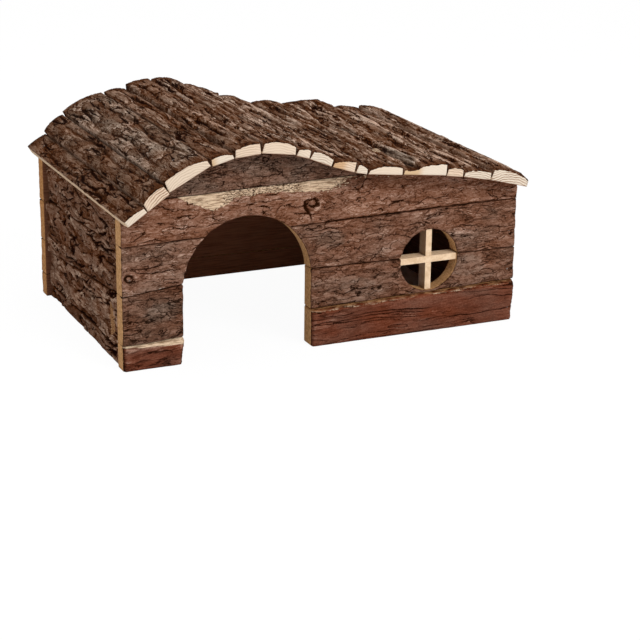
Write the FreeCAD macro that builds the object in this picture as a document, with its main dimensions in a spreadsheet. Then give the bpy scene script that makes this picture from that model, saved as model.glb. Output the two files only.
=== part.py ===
"""A small-pet house of bark-faced boards, with a rolling roof of bark slats.

Millimetres, +Z up, front towards -Y. The origin is on the floor, under the middle of the whole
house. The walls are laid out in a frame of their own first: x from the left end of the front wall,
y from its bark face towards the back, z from the floor. Every piece is then placed by one shift.
"""

import FreeCAD, Part
import math
import os
import Sketcher
from FreeCAD import Placement, Rotation, Vector

SIZES = {
    # Walls
    "wall_length": 304.0,
    "wall_depth": 193.0,
    "wall_thickness": 12.0,
    "side_inset": 2.5,
    "glue_line": 0.15,
    # The line of the wall tops, from the left: a straight ramp, an arch, a hollow and a shoulder
    # that comes down to the right eave
    "left_eave_height": 106.5,
    "left_slope": 33.7,
    "ramp_length": 42.0,
    "arch_radius": 106.0,
    "steepest_fall": 24.6,
    "hollow_radius": 164.0,
    "shoulder_fall": 3.6,
    "right_eave_height": 104.2,
    # Roof slats
    "roof_overhang": 16.0,
    "right_eave_setback": 1.5,
    "slat_gap": 0.3,
    "slat_seat": 0.1,
    # Long furrows in the slats' bark: depth, half width over depth, the narrowest slats that have
    # one and two of them, and how far they stray as a share of the slat's width
    "furrow_depth": 2.2,
    "furrow_depth_share": 0.12,
    "furrow_flare": 1.3,
    "furrow_least_width": 12.0,
    "furrow_pair_width": 24.0,
    "furrow_stray": 0.1,
    # Front wall: heights of the seams, at the wall's end and under or over the doorway's middle.
    # The crest board's seam goes down from the top of the arch instead.
    "left_sill_at_end": 18.0,
    "left_sill_at_door": 22.0,
    "left_lower_at_end": 53.5,
    "left_lower_at_door": 62.5,
    "right_sill_at_door": 26.5,
    "right_sill_at_end": 31.0,
    "right_lower_at_door": 58.5,
    "right_lower_at_end": 55.5,
    "lintel_seam_left": 88.5,
    "lintel_seam_right": 92.7,
    "crest_depth_left": 29.0,
    "crest_depth_right": 22.5,
    "left_sill_proud": 1.0,
    "right_sill_proud": 2.5,
    "sill_round": 2.0,
    # Doorway
    "door_left": 44.3,
    "door_width": 95.4,
    "door_height": 101.2,
    # Window and its crossed bars
    "window_from_right": 70.6,
    "window_radius": 22.8,
    "window_rim": 1.2,
    "bar_width": 4.8,
    "bar_recess": 2.0,
    "bar_fit": 0.1,
    # Back wall: heights of the seams at the left and the right end
    "back_sill_left": 17.0,
    "back_sill_right": 15.5,
    "back_lower_left": 44.0,
    "back_lower_right": 46.5,
    "back_middle_left": 74.5,
    "back_middle_right": 72.0,
    "back_crest_depth_left": 33.0,
    "back_crest_depth_right": 30.0,
    # Side walls: heights of the seams at the front and the back end
    "left_side_bottom_front": 13.0,
    "left_side_bottom_back": 9.0,
    "left_side_lower_front": 50.5,
    "left_side_lower_back": 36.0,
    "left_side_upper_front": 84.5,
    "left_side_upper_back": 76.0,
    "right_side_bottom_front": 12.0,
    "right_side_bottom_back": 16.0,
    "right_side_lower_front": 40.0,
    "right_side_lower_back": 45.0,
    "right_side_upper_front": 74.0,
    "right_side_upper_back": 80.0,
    # Brads
    "brad_width": 1.2,
    "brad_thickness": 1.0,
    "brad_fit": 0.02,
    "brad_sink": 0.4,
    "brad_grip": 12.0,
    "brad_from_end": 5.5,
    # Roof slats from the left: width, thickness at the left and the right edge, and how far the
    # round top rises over a straight line between those edges
    "slat_01_width": 16.5, "slat_01_left": 6.0, "slat_01_right": 5.0, "slat_01_rise": 0.7,
    "slat_02_width": 18.5, "slat_02_left": 7.5, "slat_02_right": 9.0, "slat_02_rise": 1.7,
    "slat_03_width": 33.0, "slat_03_left": 9.4, "slat_03_right": 6.0, "slat_03_rise": 2.5,
    "slat_04_width": 16.5, "slat_04_left": 6.2, "slat_04_right": 3.6, "slat_04_rise": 1.7,
    "slat_05_width": 18.5, "slat_05_left": 6.6, "slat_05_right": 8.4, "slat_05_rise": 1.1,
    "slat_06_width": 25.0, "slat_06_left": 7.4, "slat_06_right": 6.1, "slat_06_rise": 2.8,
    "slat_07_width": 10.0, "slat_07_left": 5.4, "slat_07_right": 7.2, "slat_07_rise": 0.7,
    "slat_08_width": 17.5, "slat_08_left": 6.7, "slat_08_right": 6.0, "slat_08_rise": 1.4,
    "slat_09_width": 17.5, "slat_09_left": 4.0, "slat_09_right": 8.2, "slat_09_rise": 1.3,
    "slat_10_width": 9.0, "slat_10_left": 7.2, "slat_10_right": 4.5, "slat_10_rise": 0.9,
    "slat_11_width": 26.5, "slat_11_left": 3.8, "slat_11_right": 6.2, "slat_11_rise": 2.2,
    "slat_12_width": 34.0, "slat_12_left": 4.4, "slat_12_right": 9.4, "slat_12_rise": 0.8,
    "slat_13_width": 13.0, "slat_13_left": 6.4, "slat_13_right": 6.5, "slat_13_rise": 0.6,
    "slat_14_width": 22.5, "slat_14_left": 4.4, "slat_14_right": 6.4, "slat_14_rise": 1.5,
    "slat_15_width": 30.5, "slat_15_left": 8.6, "slat_15_right": 5.3, "slat_15_rise": 2.8,
}

SLAT_COUNT = 15
CURVE_SAMPLES = 9
FIT_ROUNDS = 6
HALVINGS = 60
NEAR = 0.01
# Heights well over and under the walls, where a cut may end
HIGH = 400.0
LOW = -50.0

doc = FreeCAD.newDocument("hamster_house")
sheet = doc.addObject("Spreadsheet::Sheet", "sizes")


def fill_sheet():
    """Write the driving dimensions into the sheet, one named cell each."""
    for row, (name, number) in enumerate(SIZES.items(), 1):
        sheet.set(f"A{row}", name)
        sheet.set(f"B{row}", str(number))
        sheet.setAlias(f"B{row}", name)
    doc.recompute()


def size(name):
    return float(sheet.get(name))


def worked_out(expression):
    return float(sheet.evalExpression(expression))


# The line of the wall tops


def roof_stretches():
    """The wall tops as tangent stretches: start x, start z, heading, turn to the right, length."""
    turns = (
        (size("arch_radius"), size("left_slope") + size("steepest_fall")),
        (-size("hollow_radius"), size("steepest_fall") - size("shoulder_fall")),
    )
    start = (0.0, size("left_eave_height"), math.radians(size("left_slope")))
    stretches = [(*start, 0.0, size("ramp_length"))]
    for radius, turn in turns:
        start = along(stretches[-1], stretches[-1][4])
        stretches.append((*start, radius, abs(radius) * math.radians(turn)))
    start = along(stretches[-1], stretches[-1][4])
    stretches.append((*start, *shoulder(*start)))
    return stretches


def shoulder(x, z, heading):
    """Radius and length of the arc that leaves a place on a heading and ends at the right eave."""
    run, drop = size("wall_length") - x, z - size("right_eave_height")
    ahead = run * math.cos(heading) - drop * math.sin(heading)
    aside = run * math.sin(heading) + drop * math.cos(heading)
    radius = (ahead**2 + aside**2) / (2 * aside)
    return radius, 2 * math.atan2(aside, ahead) * radius


def along(stretch, distance):
    """Where a stretch has got to after a distance: x, z and heading."""
    x, z, heading, radius, _ = stretch
    if radius == 0.0:
        return x + distance * math.cos(heading), z + distance * math.sin(heading), heading
    turned = heading - distance / radius
    return (
        x + radius * (math.sin(heading) - math.sin(turned)),
        z + radius * (math.cos(turned) - math.cos(heading)),
        turned,
    )


def roof_point(stretches, distance):
    """x, z and heading at a distance along the whole line from the left eave."""
    for stretch in stretches[:-1]:
        if distance <= stretch[4]:
            return along(stretch, distance)
        distance -= stretch[4]
    return along(stretches[-1], distance)


def roof_run(stretches, x_end):
    """The distance along the line to the place that lies over x_end."""
    near, far = 0.0, sum(stretch[4] for stretch in stretches)
    for _ in range(HALVINGS):
        middle = (near + far) / 2
        if roof_point(stretches, middle)[0] < x_end:
            near = middle
        else:
            far = middle
    return near


# Where the slats lie


def slat_pose(stretches, start, width):
    """A slat's middle on the wall tops, x and z, and its heading, seated on the highest point."""
    x_left, z_left, _ = roof_point(stretches, start)
    x_right, z_right, _ = roof_point(stretches, start + width)
    heading = math.atan2(z_right - z_left, x_right - x_left)
    x_mid, z_mid = (x_left + x_right) / 2, (z_left + z_right) / 2
    lift = 0.0
    for step in range(CURVE_SAMPLES):
        x, z, _ = roof_point(stretches, start + width * step / (CURVE_SAMPLES - 1))
        lift = max(lift, (z - z_mid) * math.cos(heading) - (x - x_mid) * math.sin(heading))
    lift += size("slat_seat")
    return x_mid - lift * math.sin(heading), z_mid + lift * math.cos(heading), heading


def lay_slats(stretches, stretch_by):
    """Poses of all the slats, with their widths times stretch_by, and where the last one ends."""
    poses = []
    start = 0.0
    for number in range(1, SLAT_COUNT + 1):
        width = size(f"slat_{number:02d}_width") * stretch_by
        pose = slat_pose(stretches, start, width)
        if poses:
            closing = max(0.0, math.sin(pose[2] - poses[-1][2]))
            edge = max(size(f"slat_{number - 1:02d}_right"), size(f"slat_{number:02d}_left"))
            start += size("slat_gap") + closing * edge
            pose = slat_pose(stretches, start, width)
        poses.append(pose)
        start += width
    return poses, start


def fit_slats(stretches):
    """One factor for the slats' widths with which they just cover the roof, and their poses."""
    run = roof_run(stretches, size("wall_length") - size("right_eave_setback"))
    total = sum(size(f"slat_{number:02d}_width") for number in range(1, SLAT_COUNT + 1))
    factor = 1.0
    for _ in range(FIT_ROUNDS):
        poses, end = lay_slats(stretches, factor)
        factor += (run - end) / total
    return factor, poses


def house_middle(poses):
    """The middle of the whole house along x: the left slat leans out past the wall's end."""
    x, _, heading = poses[0]
    half = size("slat_01_width") * slat_factor / 2
    left = x - half * math.cos(heading) - size("slat_01_left") * math.sin(heading)
    return (left + size("wall_length")) / 2


# Sketching


def new_body(name):
    body = doc.addObject("PartDesign::Body", name + "_body")
    body.Label = name + "_body"
    return body


def new_sketch(body, plane, name, offset="0"):
    """A sketch on one of the body's own planes, moved along that plane's normal."""
    sketch = body.newObject("Sketcher::SketchObject", name)
    support = [item for item in body.Origin.OriginFeatures if item.Role == plane][0]
    sketch.AttachmentSupport = [(support, "")]
    sketch.MapMode = "FlatFace"
    sketch.setExpression("AttachmentOffset.Base.z", offset)
    return sketch


def bound(text):
    """An expression in the sheet's names, as another object has to write it."""
    words = []
    for word in text.split(" "):
        bare = word.strip("()")
        words.append(word.replace(bare, "sizes." + bare) if bare[:1].isalpha() else word)
    return " ".join(words)


def hold(sketch, kind, *picks, at):
    """A constraint with its value bound to an expression."""
    index = sketch.addConstraint(Sketcher.Constraint(kind, *picks, worked_out(at)))
    sketch.setExpression(f"Constraints[{index}]", bound(at))


def draw_outline(sketch, corners):
    """A closed outline of straight edges. A corner is a pair of expressions."""
    points = [Vector(worked_out(across), worked_out(up), 0) for across, up in corners]
    count = len(points)
    for index in range(count):
        sketch.addGeometry(Part.LineSegment(points[index], points[(index + 1) % count]))
    for index in range(count):
        sketch.addConstraint(
            Sketcher.Constraint("Coincident", index, 2, (index + 1) % count, 1)
        )
    for index, (across, up) in enumerate(corners):
        hold(sketch, "DistanceX", -1, 1, index, 1, at=across)
        hold(sketch, "DistanceY", -1, 1, index, 1, at=up)


def pad(body, sketch, length, reverse=False):
    feature = body.newObject("PartDesign::Pad", sketch.Name + "_pad")
    feature.Profile = sketch
    feature.setExpression("Length", bound(length))
    feature.Reversed = reverse
    sketch.Visibility = False
    return feature


def pocket_through(body, sketch):
    feature = body.newObject("PartDesign::Pocket", sketch.Name + "_pocket")
    feature.Profile = sketch
    feature.Type = "ThroughAll"
    feature.Midplane = True
    return feature


# Cuts that several boards share


def cut_roof_line(body):
    """Trim a board along the line of the wall tops."""
    sketch = new_sketch(body, "XZ_Plane", body.Name + "_roof_line")
    edges = []
    before = LOW * math.tan(math.radians(size("left_slope")))
    first = Vector(LOW, size("left_eave_height") + before, 0)
    for stretch in roof_stretches():
        length = stretch[4]
        x, z, _ = along(stretch, length)
        if stretch[3] == 0.0:
            edges.append(Part.LineSegment(first, Vector(x, z, 0)))
        else:
            x_half, z_half, _ = along(stretch, length / 2)
            start = Vector(stretch[0], stretch[1], 0)
            edges.append(Part.Arc(start, Vector(x_half, z_half, 0), Vector(x, z, 0)))
    last = Vector(x, z, 0)
    edges.append(Part.LineSegment(last, Vector(x, HIGH, 0)))
    edges.append(Part.LineSegment(Vector(x, HIGH, 0), Vector(LOW, HIGH, 0)))
    edges.append(Part.LineSegment(Vector(LOW, HIGH, 0), first))
    for edge in edges:
        index = sketch.addGeometry(edge)
        sketch.addConstraint(Sketcher.Constraint("Block", index))
    return pocket_through(body, sketch)


def cut_doorway(body):
    """Saw the doorway, upright jambs under a half round, out of a board."""
    sketch = new_sketch(body, "XZ_Plane", body.Name + "_doorway")
    left, right = "door_left", "door_left + door_width"
    spring = "door_height - door_width / 2"
    centre = Vector(worked_out("door_left + door_width / 2"), worked_out(spring), 0)
    half = worked_out("door_width / 2")
    feet = [Vector(centre.x - half, LOW, 0), Vector(centre.x + half, LOW, 0)]
    springs = [Vector(centre.x - half, centre.y, 0), Vector(centre.x + half, centre.y, 0)]
    circle = Part.Circle(centre, Vector(0, 0, 1), half)
    sketch.addGeometry(Part.LineSegment(feet[0], feet[1]))
    sketch.addGeometry(Part.LineSegment(feet[1], springs[1]))
    sketch.addGeometry(Part.ArcOfCircle(circle, 0, math.pi))
    sketch.addGeometry(Part.LineSegment(springs[0], feet[0]))
    for first, second in (((0, 2), (1, 1)), ((1, 2), (2, 1)), ((2, 2), (3, 1)), ((3, 2), (0, 1))):
        sketch.addConstraint(Sketcher.Constraint("Coincident", *first, *second))
    hold(sketch, "DistanceX", -1, 1, 0, 1, at=left)
    hold(sketch, "DistanceX", -1, 1, 0, 2, at=right)
    for corner in (1, 2):
        sketch.addConstraint(Sketcher.Constraint("DistanceY", -1, 1, 0, corner, LOW))
    hold(sketch, "DistanceX", -1, 1, 2, 3, at="door_left + door_width / 2")
    hold(sketch, "DistanceY", -1, 1, 2, 3, at=spring)
    hold(sketch, "DistanceY", -1, 1, 1, 2, at=spring)
    hold(sketch, "DistanceY", -1, 1, 3, 1, at=spring)
    return pocket_through(body, sketch)


WINDOW_X = "wall_length - window_from_right"
SILL_UNDER_WINDOW = (
    "right_sill_at_end - ( right_sill_at_end - right_sill_at_door ) * window_from_right"
    " / ( wall_length - door_left - door_width / 2 )"
)
WINDOW_Z = SILL_UNDER_WINDOW + " + window_rim + window_radius"


def cut_window(body):
    """Saw the round window out of a board. It stops a rim's height above the sill."""
    sketch = new_sketch(body, "XZ_Plane", body.Name + "_window")
    centre = Vector(worked_out(WINDOW_X), worked_out(WINDOW_Z), 0)
    sketch.addGeometry(Part.Circle(centre, Vector(0, 0, 1), size("window_radius")))
    hold(sketch, "DistanceX", -1, 1, 0, 3, at=WINDOW_X)
    hold(sketch, "DistanceY", -1, 1, 0, 3, at=WINDOW_Z)
    hold(sketch, "Radius", 0, at="window_radius")
    return pocket_through(body, sketch)


def round_front_edges(body, proud):
    """Ease the edges of a sill's front face, apart from the one on the floor."""
    doc.recompute()
    front = -size(proud)
    names = []
    for index, edge in enumerate(body.Shape.Edges, 1):
        box = edge.BoundBox
        on_front = abs(box.YMin - front) < NEAR and abs(box.YMax - front) < NEAR
        if on_front and box.ZMax > NEAR:
            names.append(f"Edge{index}")
    sawn = body.Tip
    feature = body.newObject("PartDesign::Fillet", body.Name + "_round")
    feature.Base = (sawn, names)
    feature.setExpression("Radius", bound("sill_round"))
    return feature


# Boards


def long_board(name, corners, face, thickness, cuts):
    """A board of the front or back wall: its outline in x and z, from face towards the back."""
    body = new_body(name)
    sketch = new_sketch(body, "XZ_Plane", name + "_outline", bound(f"0 - ( {face} )"))
    draw_outline(sketch, corners)
    pad(body, sketch, thickness, reverse=True)
    for cut in cuts:
        cut(body)
    return body


def side_board(name, corners, face, cuts):
    """A board of a side wall: its outline in y and z, from face to the right."""
    body = new_body(name)
    sketch = new_sketch(body, "YZ_Plane", name + "_outline", bound(face))
    draw_outline(sketch, corners)
    pad(body, sketch, "wall_thickness")
    for cut in cuts:
        cut(body)
    return body


def between(left, right, bottom, top):
    """A board's corners from its ends and two seams, each a pair of heights at those ends."""
    return [
        (left, bottom[0]),
        (right, bottom[1]),
        (right, top[1] + " - glue_line"),
        (left, top[0] + " - glue_line"),
    ]


FLOOR = ("0", "0")
SKY = ("left_eave_height + ramp_length + arch_radius",) * 2
DOOR_MIDDLE = "door_left + door_width / 2"


def under_arch(depth):
    """The height of a seam that lies a depth below the top of the wall's arch."""
    slope = math.radians(size("left_slope"))
    rise = size("ramp_length") * math.sin(slope) + size("arch_radius") * (1 - math.cos(slope))
    return f"left_eave_height + {rise:.6f} - {depth}"


def lintel_height_at_door():
    """The height of the lintel's lower seam over the doorway's middle."""
    share = "( door_left + door_width / 2 ) / wall_length"
    return f"lintel_seam_left + ( lintel_seam_right - lintel_seam_left ) * {share}"


def front_boards():
    """The eight boards of the front wall. All but the top two stop at the doorway."""
    lintel_at_door = lintel_height_at_door()
    left_sill = ("left_sill_at_end", "left_sill_at_door")
    left_lower = ("left_lower_at_end", "left_lower_at_door")
    right_sill = ("right_sill_at_door", "right_sill_at_end")
    right_lower = ("right_lower_at_door", "right_lower_at_end")
    lintel = ("lintel_seam_left", "lintel_seam_right")
    crest = (under_arch("crest_depth_left"), under_arch("crest_depth_right"))
    left, right = ("0", DOOR_MIDDLE), (DOOR_MIDDLE, "wall_length")
    door, window, roof = cut_doorway, cut_window, cut_roof_line
    rows = [
        ("front_sill_left", left, FLOOR, left_sill, "left_sill_proud", [door]),
        ("front_lower_board_left", left, left_sill, left_lower, None, [door]),
        ("front_middle_board_left", left, left_lower, (lintel[0], lintel_at_door), None, [door]),
        ("front_sill_right", right, FLOOR, right_sill, "right_sill_proud", [door]),
        ("front_lower_board_right", right, right_sill, right_lower, None, [door, window]),
        (
            "front_middle_board_right",
            right,
            right_lower,
            (lintel_at_door, lintel[1]),
            None,
            [door, window],
        ),
        ("front_lintel_board", ("0", "wall_length"), lintel, crest, None, [door, roof]),
        ("front_crest_board", ("0", "wall_length"), crest, SKY, None, [roof]),
    ]
    bodies = {}
    for name, ends, bottom, top, proud, cuts in rows:
        face = f"0 - {proud}" if proud else "0"
        thickness = f"wall_thickness + {proud}" if proud else "wall_thickness"
        corners = between(*ends, bottom, top)
        bodies[name] = long_board(name, corners, face, thickness, cuts)
        if proud:
            round_front_edges(bodies[name], proud)
    return bodies


def back_boards():
    """The five boards of the back wall, each as long as the wall."""
    seams = [
        FLOOR,
        ("back_sill_left", "back_sill_right"),
        ("back_lower_left", "back_lower_right"),
        ("back_middle_left", "back_middle_right"),
        (under_arch("back_crest_depth_left"), under_arch("back_crest_depth_right")),
        SKY,
    ]
    names = ("sill", "lower", "middle", "upper", "crest")
    bodies = {}
    for index, word in enumerate(names):
        name = f"back_{word}_board"
        cuts = [cut_roof_line] if word in ("upper", "crest") else []
        corners = between("0", "wall_length", seams[index], seams[index + 1])
        face = "wall_depth - wall_thickness"
        bodies[name] = long_board(name, corners, face, "wall_thickness", cuts)
    return bodies


def side_boards(side, face):
    """The four boards of one side wall, which stand between the front wall and the back wall."""
    front = "wall_thickness + glue_line"
    back = "wall_depth - wall_thickness - glue_line"
    seams = [FLOOR]
    for word in ("bottom", "lower", "upper"):
        seams.append((f"{side}_side_{word}_front", f"{side}_side_{word}_back"))
    seams.append(SKY)
    bodies = {}
    for index, word in enumerate(("bottom", "lower", "upper", "top")):
        name = f"{side}_{word}_board"
        cuts = [cut_roof_line] if word == "top" else []
        corners = between(front, back, seams[index], seams[index + 1])
        bodies[name] = side_board(name, corners, face, cuts)
    return bodies


# Window bars

BAR_DEPTH = "wall_thickness - bar_recess"


def window_bar(name, notch_at):
    """A bar across the window, rounded at the ends to its rim, with half its depth notched out."""
    body = new_body(name)
    radius, half = worked_out("window_radius - bar_fit"), worked_out("bar_width / 2")
    reach = math.sqrt(radius**2 - half**2)
    angle = math.asin(half / radius)
    sketch = new_sketch(body, "XZ_Plane", name + "_outline")
    circle = Part.Circle(Vector(0, 0, 0), Vector(0, 0, 1), radius)
    sketch.addGeometry(Part.LineSegment(Vector(-reach, -half, 0), Vector(reach, -half, 0)))
    sketch.addGeometry(Part.ArcOfCircle(circle, -angle, angle))
    sketch.addGeometry(Part.LineSegment(Vector(reach, half, 0), Vector(-reach, half, 0)))
    sketch.addGeometry(Part.ArcOfCircle(circle, math.pi - angle, math.pi + angle))
    for first, second in (((0, 2), (1, 1)), ((1, 2), (2, 1)), ((2, 2), (3, 1)), ((3, 2), (0, 1))):
        sketch.addConstraint(Sketcher.Constraint("Coincident", *first, *second))
    for arc in (1, 3):
        sketch.addConstraint(Sketcher.Constraint("Coincident", arc, 3, -1, 1))
        hold(sketch, "Radius", arc, at="window_radius - bar_fit")
    for line in (0, 2):
        sketch.addConstraint(Sketcher.Constraint("Horizontal", line))
    hold(sketch, "DistanceY", 0, 1, -1, 1, at="bar_width / 2")
    hold(sketch, "DistanceY", -1, 1, 2, 1, at="bar_width / 2")
    pad(body, sketch, BAR_DEPTH, reverse=True)
    notch = new_sketch(body, "XZ_Plane", name + "_halving", bound(f"0 - ( {notch_at} )"))
    across = "bar_width / 2 + bar_fit"
    draw_outline(
        notch,
        [
            (f"0 - ( {across} )", "0 - bar_width"),
            (across, "0 - bar_width"),
            (across, "bar_width"),
            (f"0 - ( {across} )", "bar_width"),
        ],
    )
    cut = body.newObject("PartDesign::Pocket", name + "_halving_pocket")
    cut.Profile = notch
    cut.setExpression("Length", bound(f"( {BAR_DEPTH} ) / 2 + bar_fit / 2"))
    return body


# Slats

CROWN = "( slat_left + slat_right ) / 2 + slat_rise"


def slat_crown(number):
    return worked_out(CROWN.replace("slat", f"slat_{number:02d}"))


def roof_slat(number):
    """A slat sawn flat below and at its edges, and round on top like the log it came from."""
    name = f"roof_slat_{number:02d}"
    key = f"slat_{number:02d}"
    body = new_body(name)
    width = size(key + "_width") * slat_factor
    left, right, crown = size(key + "_left"), size(key + "_right"), slat_crown(number)
    corners = [
        Vector(-width / 2, 0, 0),
        Vector(width / 2, 0, 0),
        Vector(width / 2, right, 0),
        Vector(-width / 2, left, 0),
    ]
    sketch = new_sketch(body, "XZ_Plane", name + "_section")
    sketch.addGeometry(Part.LineSegment(corners[0], corners[1]))
    sketch.addGeometry(Part.LineSegment(corners[1], corners[2]))
    sketch.addGeometry(Part.Arc(corners[2], Vector(0, crown, 0), corners[3]))
    sketch.addGeometry(Part.LineSegment(corners[3], corners[0]))
    top_ends = (1, 2) if sketch.Geometry[2].StartPoint.x > 0 else (2, 1)
    joints = (
        ((0, 2), (1, 1)),
        ((1, 2), (2, top_ends[0])),
        ((2, top_ends[1]), (3, 1)),
        ((3, 2), (0, 1)),
    )
    for first, second in joints:
        sketch.addConstraint(Sketcher.Constraint("Coincident", *first, *second))
    sketch.addConstraint(Sketcher.Constraint("Symmetric", 0, 1, 0, 2, -2))
    sketch.addConstraint(Sketcher.Constraint("PointOnObject", 0, 1, -1))
    sketch.addConstraint(Sketcher.Constraint("Vertical", 1))
    sketch.addConstraint(Sketcher.Constraint("Vertical", 3))
    hold(sketch, "DistanceX", 0, 1, 0, 2, at=f"{key}_width * {slat_factor:.9f}")
    hold(sketch, "DistanceY", 1, 1, 1, 2, at=f"{key}_right")
    hold(sketch, "DistanceY", 3, 2, 3, 1, at=f"{key}_left")
    middle = sketch.addGeometry(Part.Point(Vector(0, crown, 0)), True)
    sketch.addConstraint(Sketcher.Constraint("PointOnObject", middle, 1, -2))
    sketch.addConstraint(Sketcher.Constraint("PointOnObject", middle, 1, 2))
    hold(sketch, "DistanceY", -1, 1, middle, 1, at=CROWN.replace("slat", key))
    feature = pad(body, sketch, "wall_depth + 2 * roof_overhang")
    feature.Midplane = True
    x, z, heading = slat_poses[number - 1]
    turn = Rotation(Vector(0, 1, 0), -math.degrees(heading))
    body.Placement = Placement(Vector(x - shift_x, 0, z), turn)
    return body


# The furrows in the slats' bark

# The line of a furrow, from one end of the slat to the other: how far along, how far aside and how
# deep, as shares of the slat's length, of the furrow's stray and of its full depth. It starts and
# ends over the bark, so that it runs out.
FURROW_LINE = (
    (-0.47, 0.4, -0.2),
    (-0.39, 0.9, 0.7),
    (-0.17, -1.0, 1.0),
    (0.08, 0.7, 0.75),
    (0.33, -0.6, 1.0),
    (0.46, 0.2, -0.2),
)
# Where furrows lie across a slat that has one or two, as shares of its width
FURROW_PLACES = {1: (0.21,), 2: (0.24, -0.26)}
FURROW_CLEARANCE = 1.5


def furrow_places(number):
    """Where a slat's furrows lie across it, as shares of its width."""
    width = size(f"slat_{number:02d}_width")
    if width < size("furrow_least_width"):
        return ()
    return FURROW_PLACES[2 if width >= size("furrow_pair_width") else 1]


def furrow(number, place, way):
    """The tool for one furrow, in the slat's own frame: a V drawn along a wandering line."""
    key = f"slat_{number:02d}"
    width = size(key + "_width") * slat_factor
    length = size("wall_depth") + 2 * size("roof_overhang")
    depth = min(size("furrow_depth"), size("furrow_depth_share") * width)
    left, right = Vector(-width / 2, size(key + "_left"), 0), Vector(width / 2, size(key + "_right"), 0)
    face = Part.Arc(left, Vector(0, slat_crown(number), 0), right).toShape().Curve
    rise = depth + FURROW_CLEARANCE
    reach = rise * size("furrow_flare")
    sections = []
    for run, aside, share in FURROW_LINE:
        x = width * (place + size("furrow_stray") * aside)
        top = face.Center.y + math.sqrt(face.Radius**2 - (x - face.Center.x) ** 2)
        foot = Vector(x, run * way * length, top - share * depth)
        rims = foot + Vector(-reach, 0, rise), foot + Vector(reach, 0, rise)
        sections.append(Part.makePolygon([foot, rims[0], rims[1], foot]))
    return Part.makeLoft(sections, True, True)


def furrowed(number, body):
    """A slat with the long furrows of its bark. They run the other way on every second slat."""
    way = -1 if number % 2 else 1
    places = furrow_places(number)
    if not places:
        return body
    tools = [furrow(number, way * place, way * (-1) ** index) for index, place in enumerate(places)]
    furrows = shape_object(body.Name + "_furrows", tools)
    furrows.Placement = body.Placement
    return drilled(body.Name + "_furrowed", body, furrows)


# Brads


def pin(start, direction, length, extra):
    """A length of flat brad wire, or with extra round it, the pilot hole for one."""
    wide, thin = size("brad_width") + 2 * extra, size("brad_thickness") + 2 * extra
    wire = Part.makeBox(wide, thin, length, Vector(-wide / 2, -thin / 2, 0))
    wire.Placement = Placement(start, Rotation(Vector(0, 0, 1), direction))
    return wire


def roof_brads(extra):
    """Two brads to a slat, one into each long wall, square to the slat."""
    pins = []
    y_wall = size("wall_depth") / 2 - size("wall_thickness") / 2
    for number, (x, z, heading) in enumerate(slat_poses, 1):
        up = Vector(-math.sin(heading), 0, math.cos(heading))
        length = slat_crown(number) - size("brad_sink") + size("brad_grip")
        for y in (-y_wall, y_wall):
            start = Vector(x - shift_x, y, z) - up * size("brad_grip")
            reach = length + 2 * size("brad_sink") if extra else length
            pins.append(pin(start, up, reach, extra))
    return pins


def wall_brad_heights(bottom, top):
    """A pair of brads in a board's end, at a third and two thirds of its height."""
    low, high = worked_out(bottom), worked_out(top)
    return [low + (high - low) / 3, low + (high - low) * 2 / 3]


def wall_brads(extra):
    """Pairs of brads through the ends of the long boards into the ends of the side boards."""
    length = size("wall_thickness") + size("brad_grip")
    stretches = roof_stretches()
    end_x = {"left": size("brad_from_end"), "right": size("wall_length") - size("brad_from_end")}
    eave = {side: roof_point(stretches, roof_run(stretches, end_x[side]))[1] for side in end_x}
    front = {
        "left": ["0", "left_sill_at_end", "left_lower_at_end", "lintel_seam_left"],
        "right": ["0", "right_sill_at_end", "right_lower_at_end", "lintel_seam_right"],
    }
    back = {
        side: ["0", f"back_sill_{side}", f"back_lower_{side}", f"back_middle_{side}"]
        for side in ("left", "right")
    }
    pins = []
    for side, x in end_x.items():
        sink = size("brad_sink")
        front_y, back_y = sink, size("wall_depth") - sink
        for seams, y, inward in ((front[side], front_y, 1), (back[side], back_y, -1)):
            tops = seams[1:] + [str(eave[side])]
            for bottom, top in zip(seams, tops):
                proud = 0.0
                if bottom == "0" and inward == 1:
                    proud = size(f"{side}_sill_proud")
                for z in wall_brad_heights(bottom, top):
                    reach = length - sink + proud
                    start = Vector(x - shift_x, y - proud - shift_y, z)
                    if extra:
                        start.y -= 2 * inward * sink
                        reach += 2 * sink
                    pins.append(pin(start, Vector(0, inward, 0), reach, extra))
    return pins


def shape_object(name, solids):
    item = doc.addObject("Part::Feature", name)
    item.Label = name
    item.Shape = Part.makeCompound(solids)
    return item


def drilled(name, body, tool):
    """A board with pilot holes or furrows taken out of it."""
    cut = doc.addObject("Part::Cut", name)
    cut.Label = name
    cut.Base = body
    cut.Tool = tool
    return cut


# Building


fill_sheet()
line = roof_stretches()
slat_factor, slat_poses = fit_slats(line)
shift_x = house_middle(slat_poses)
shift_y = size("wall_depth") / 2


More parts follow.
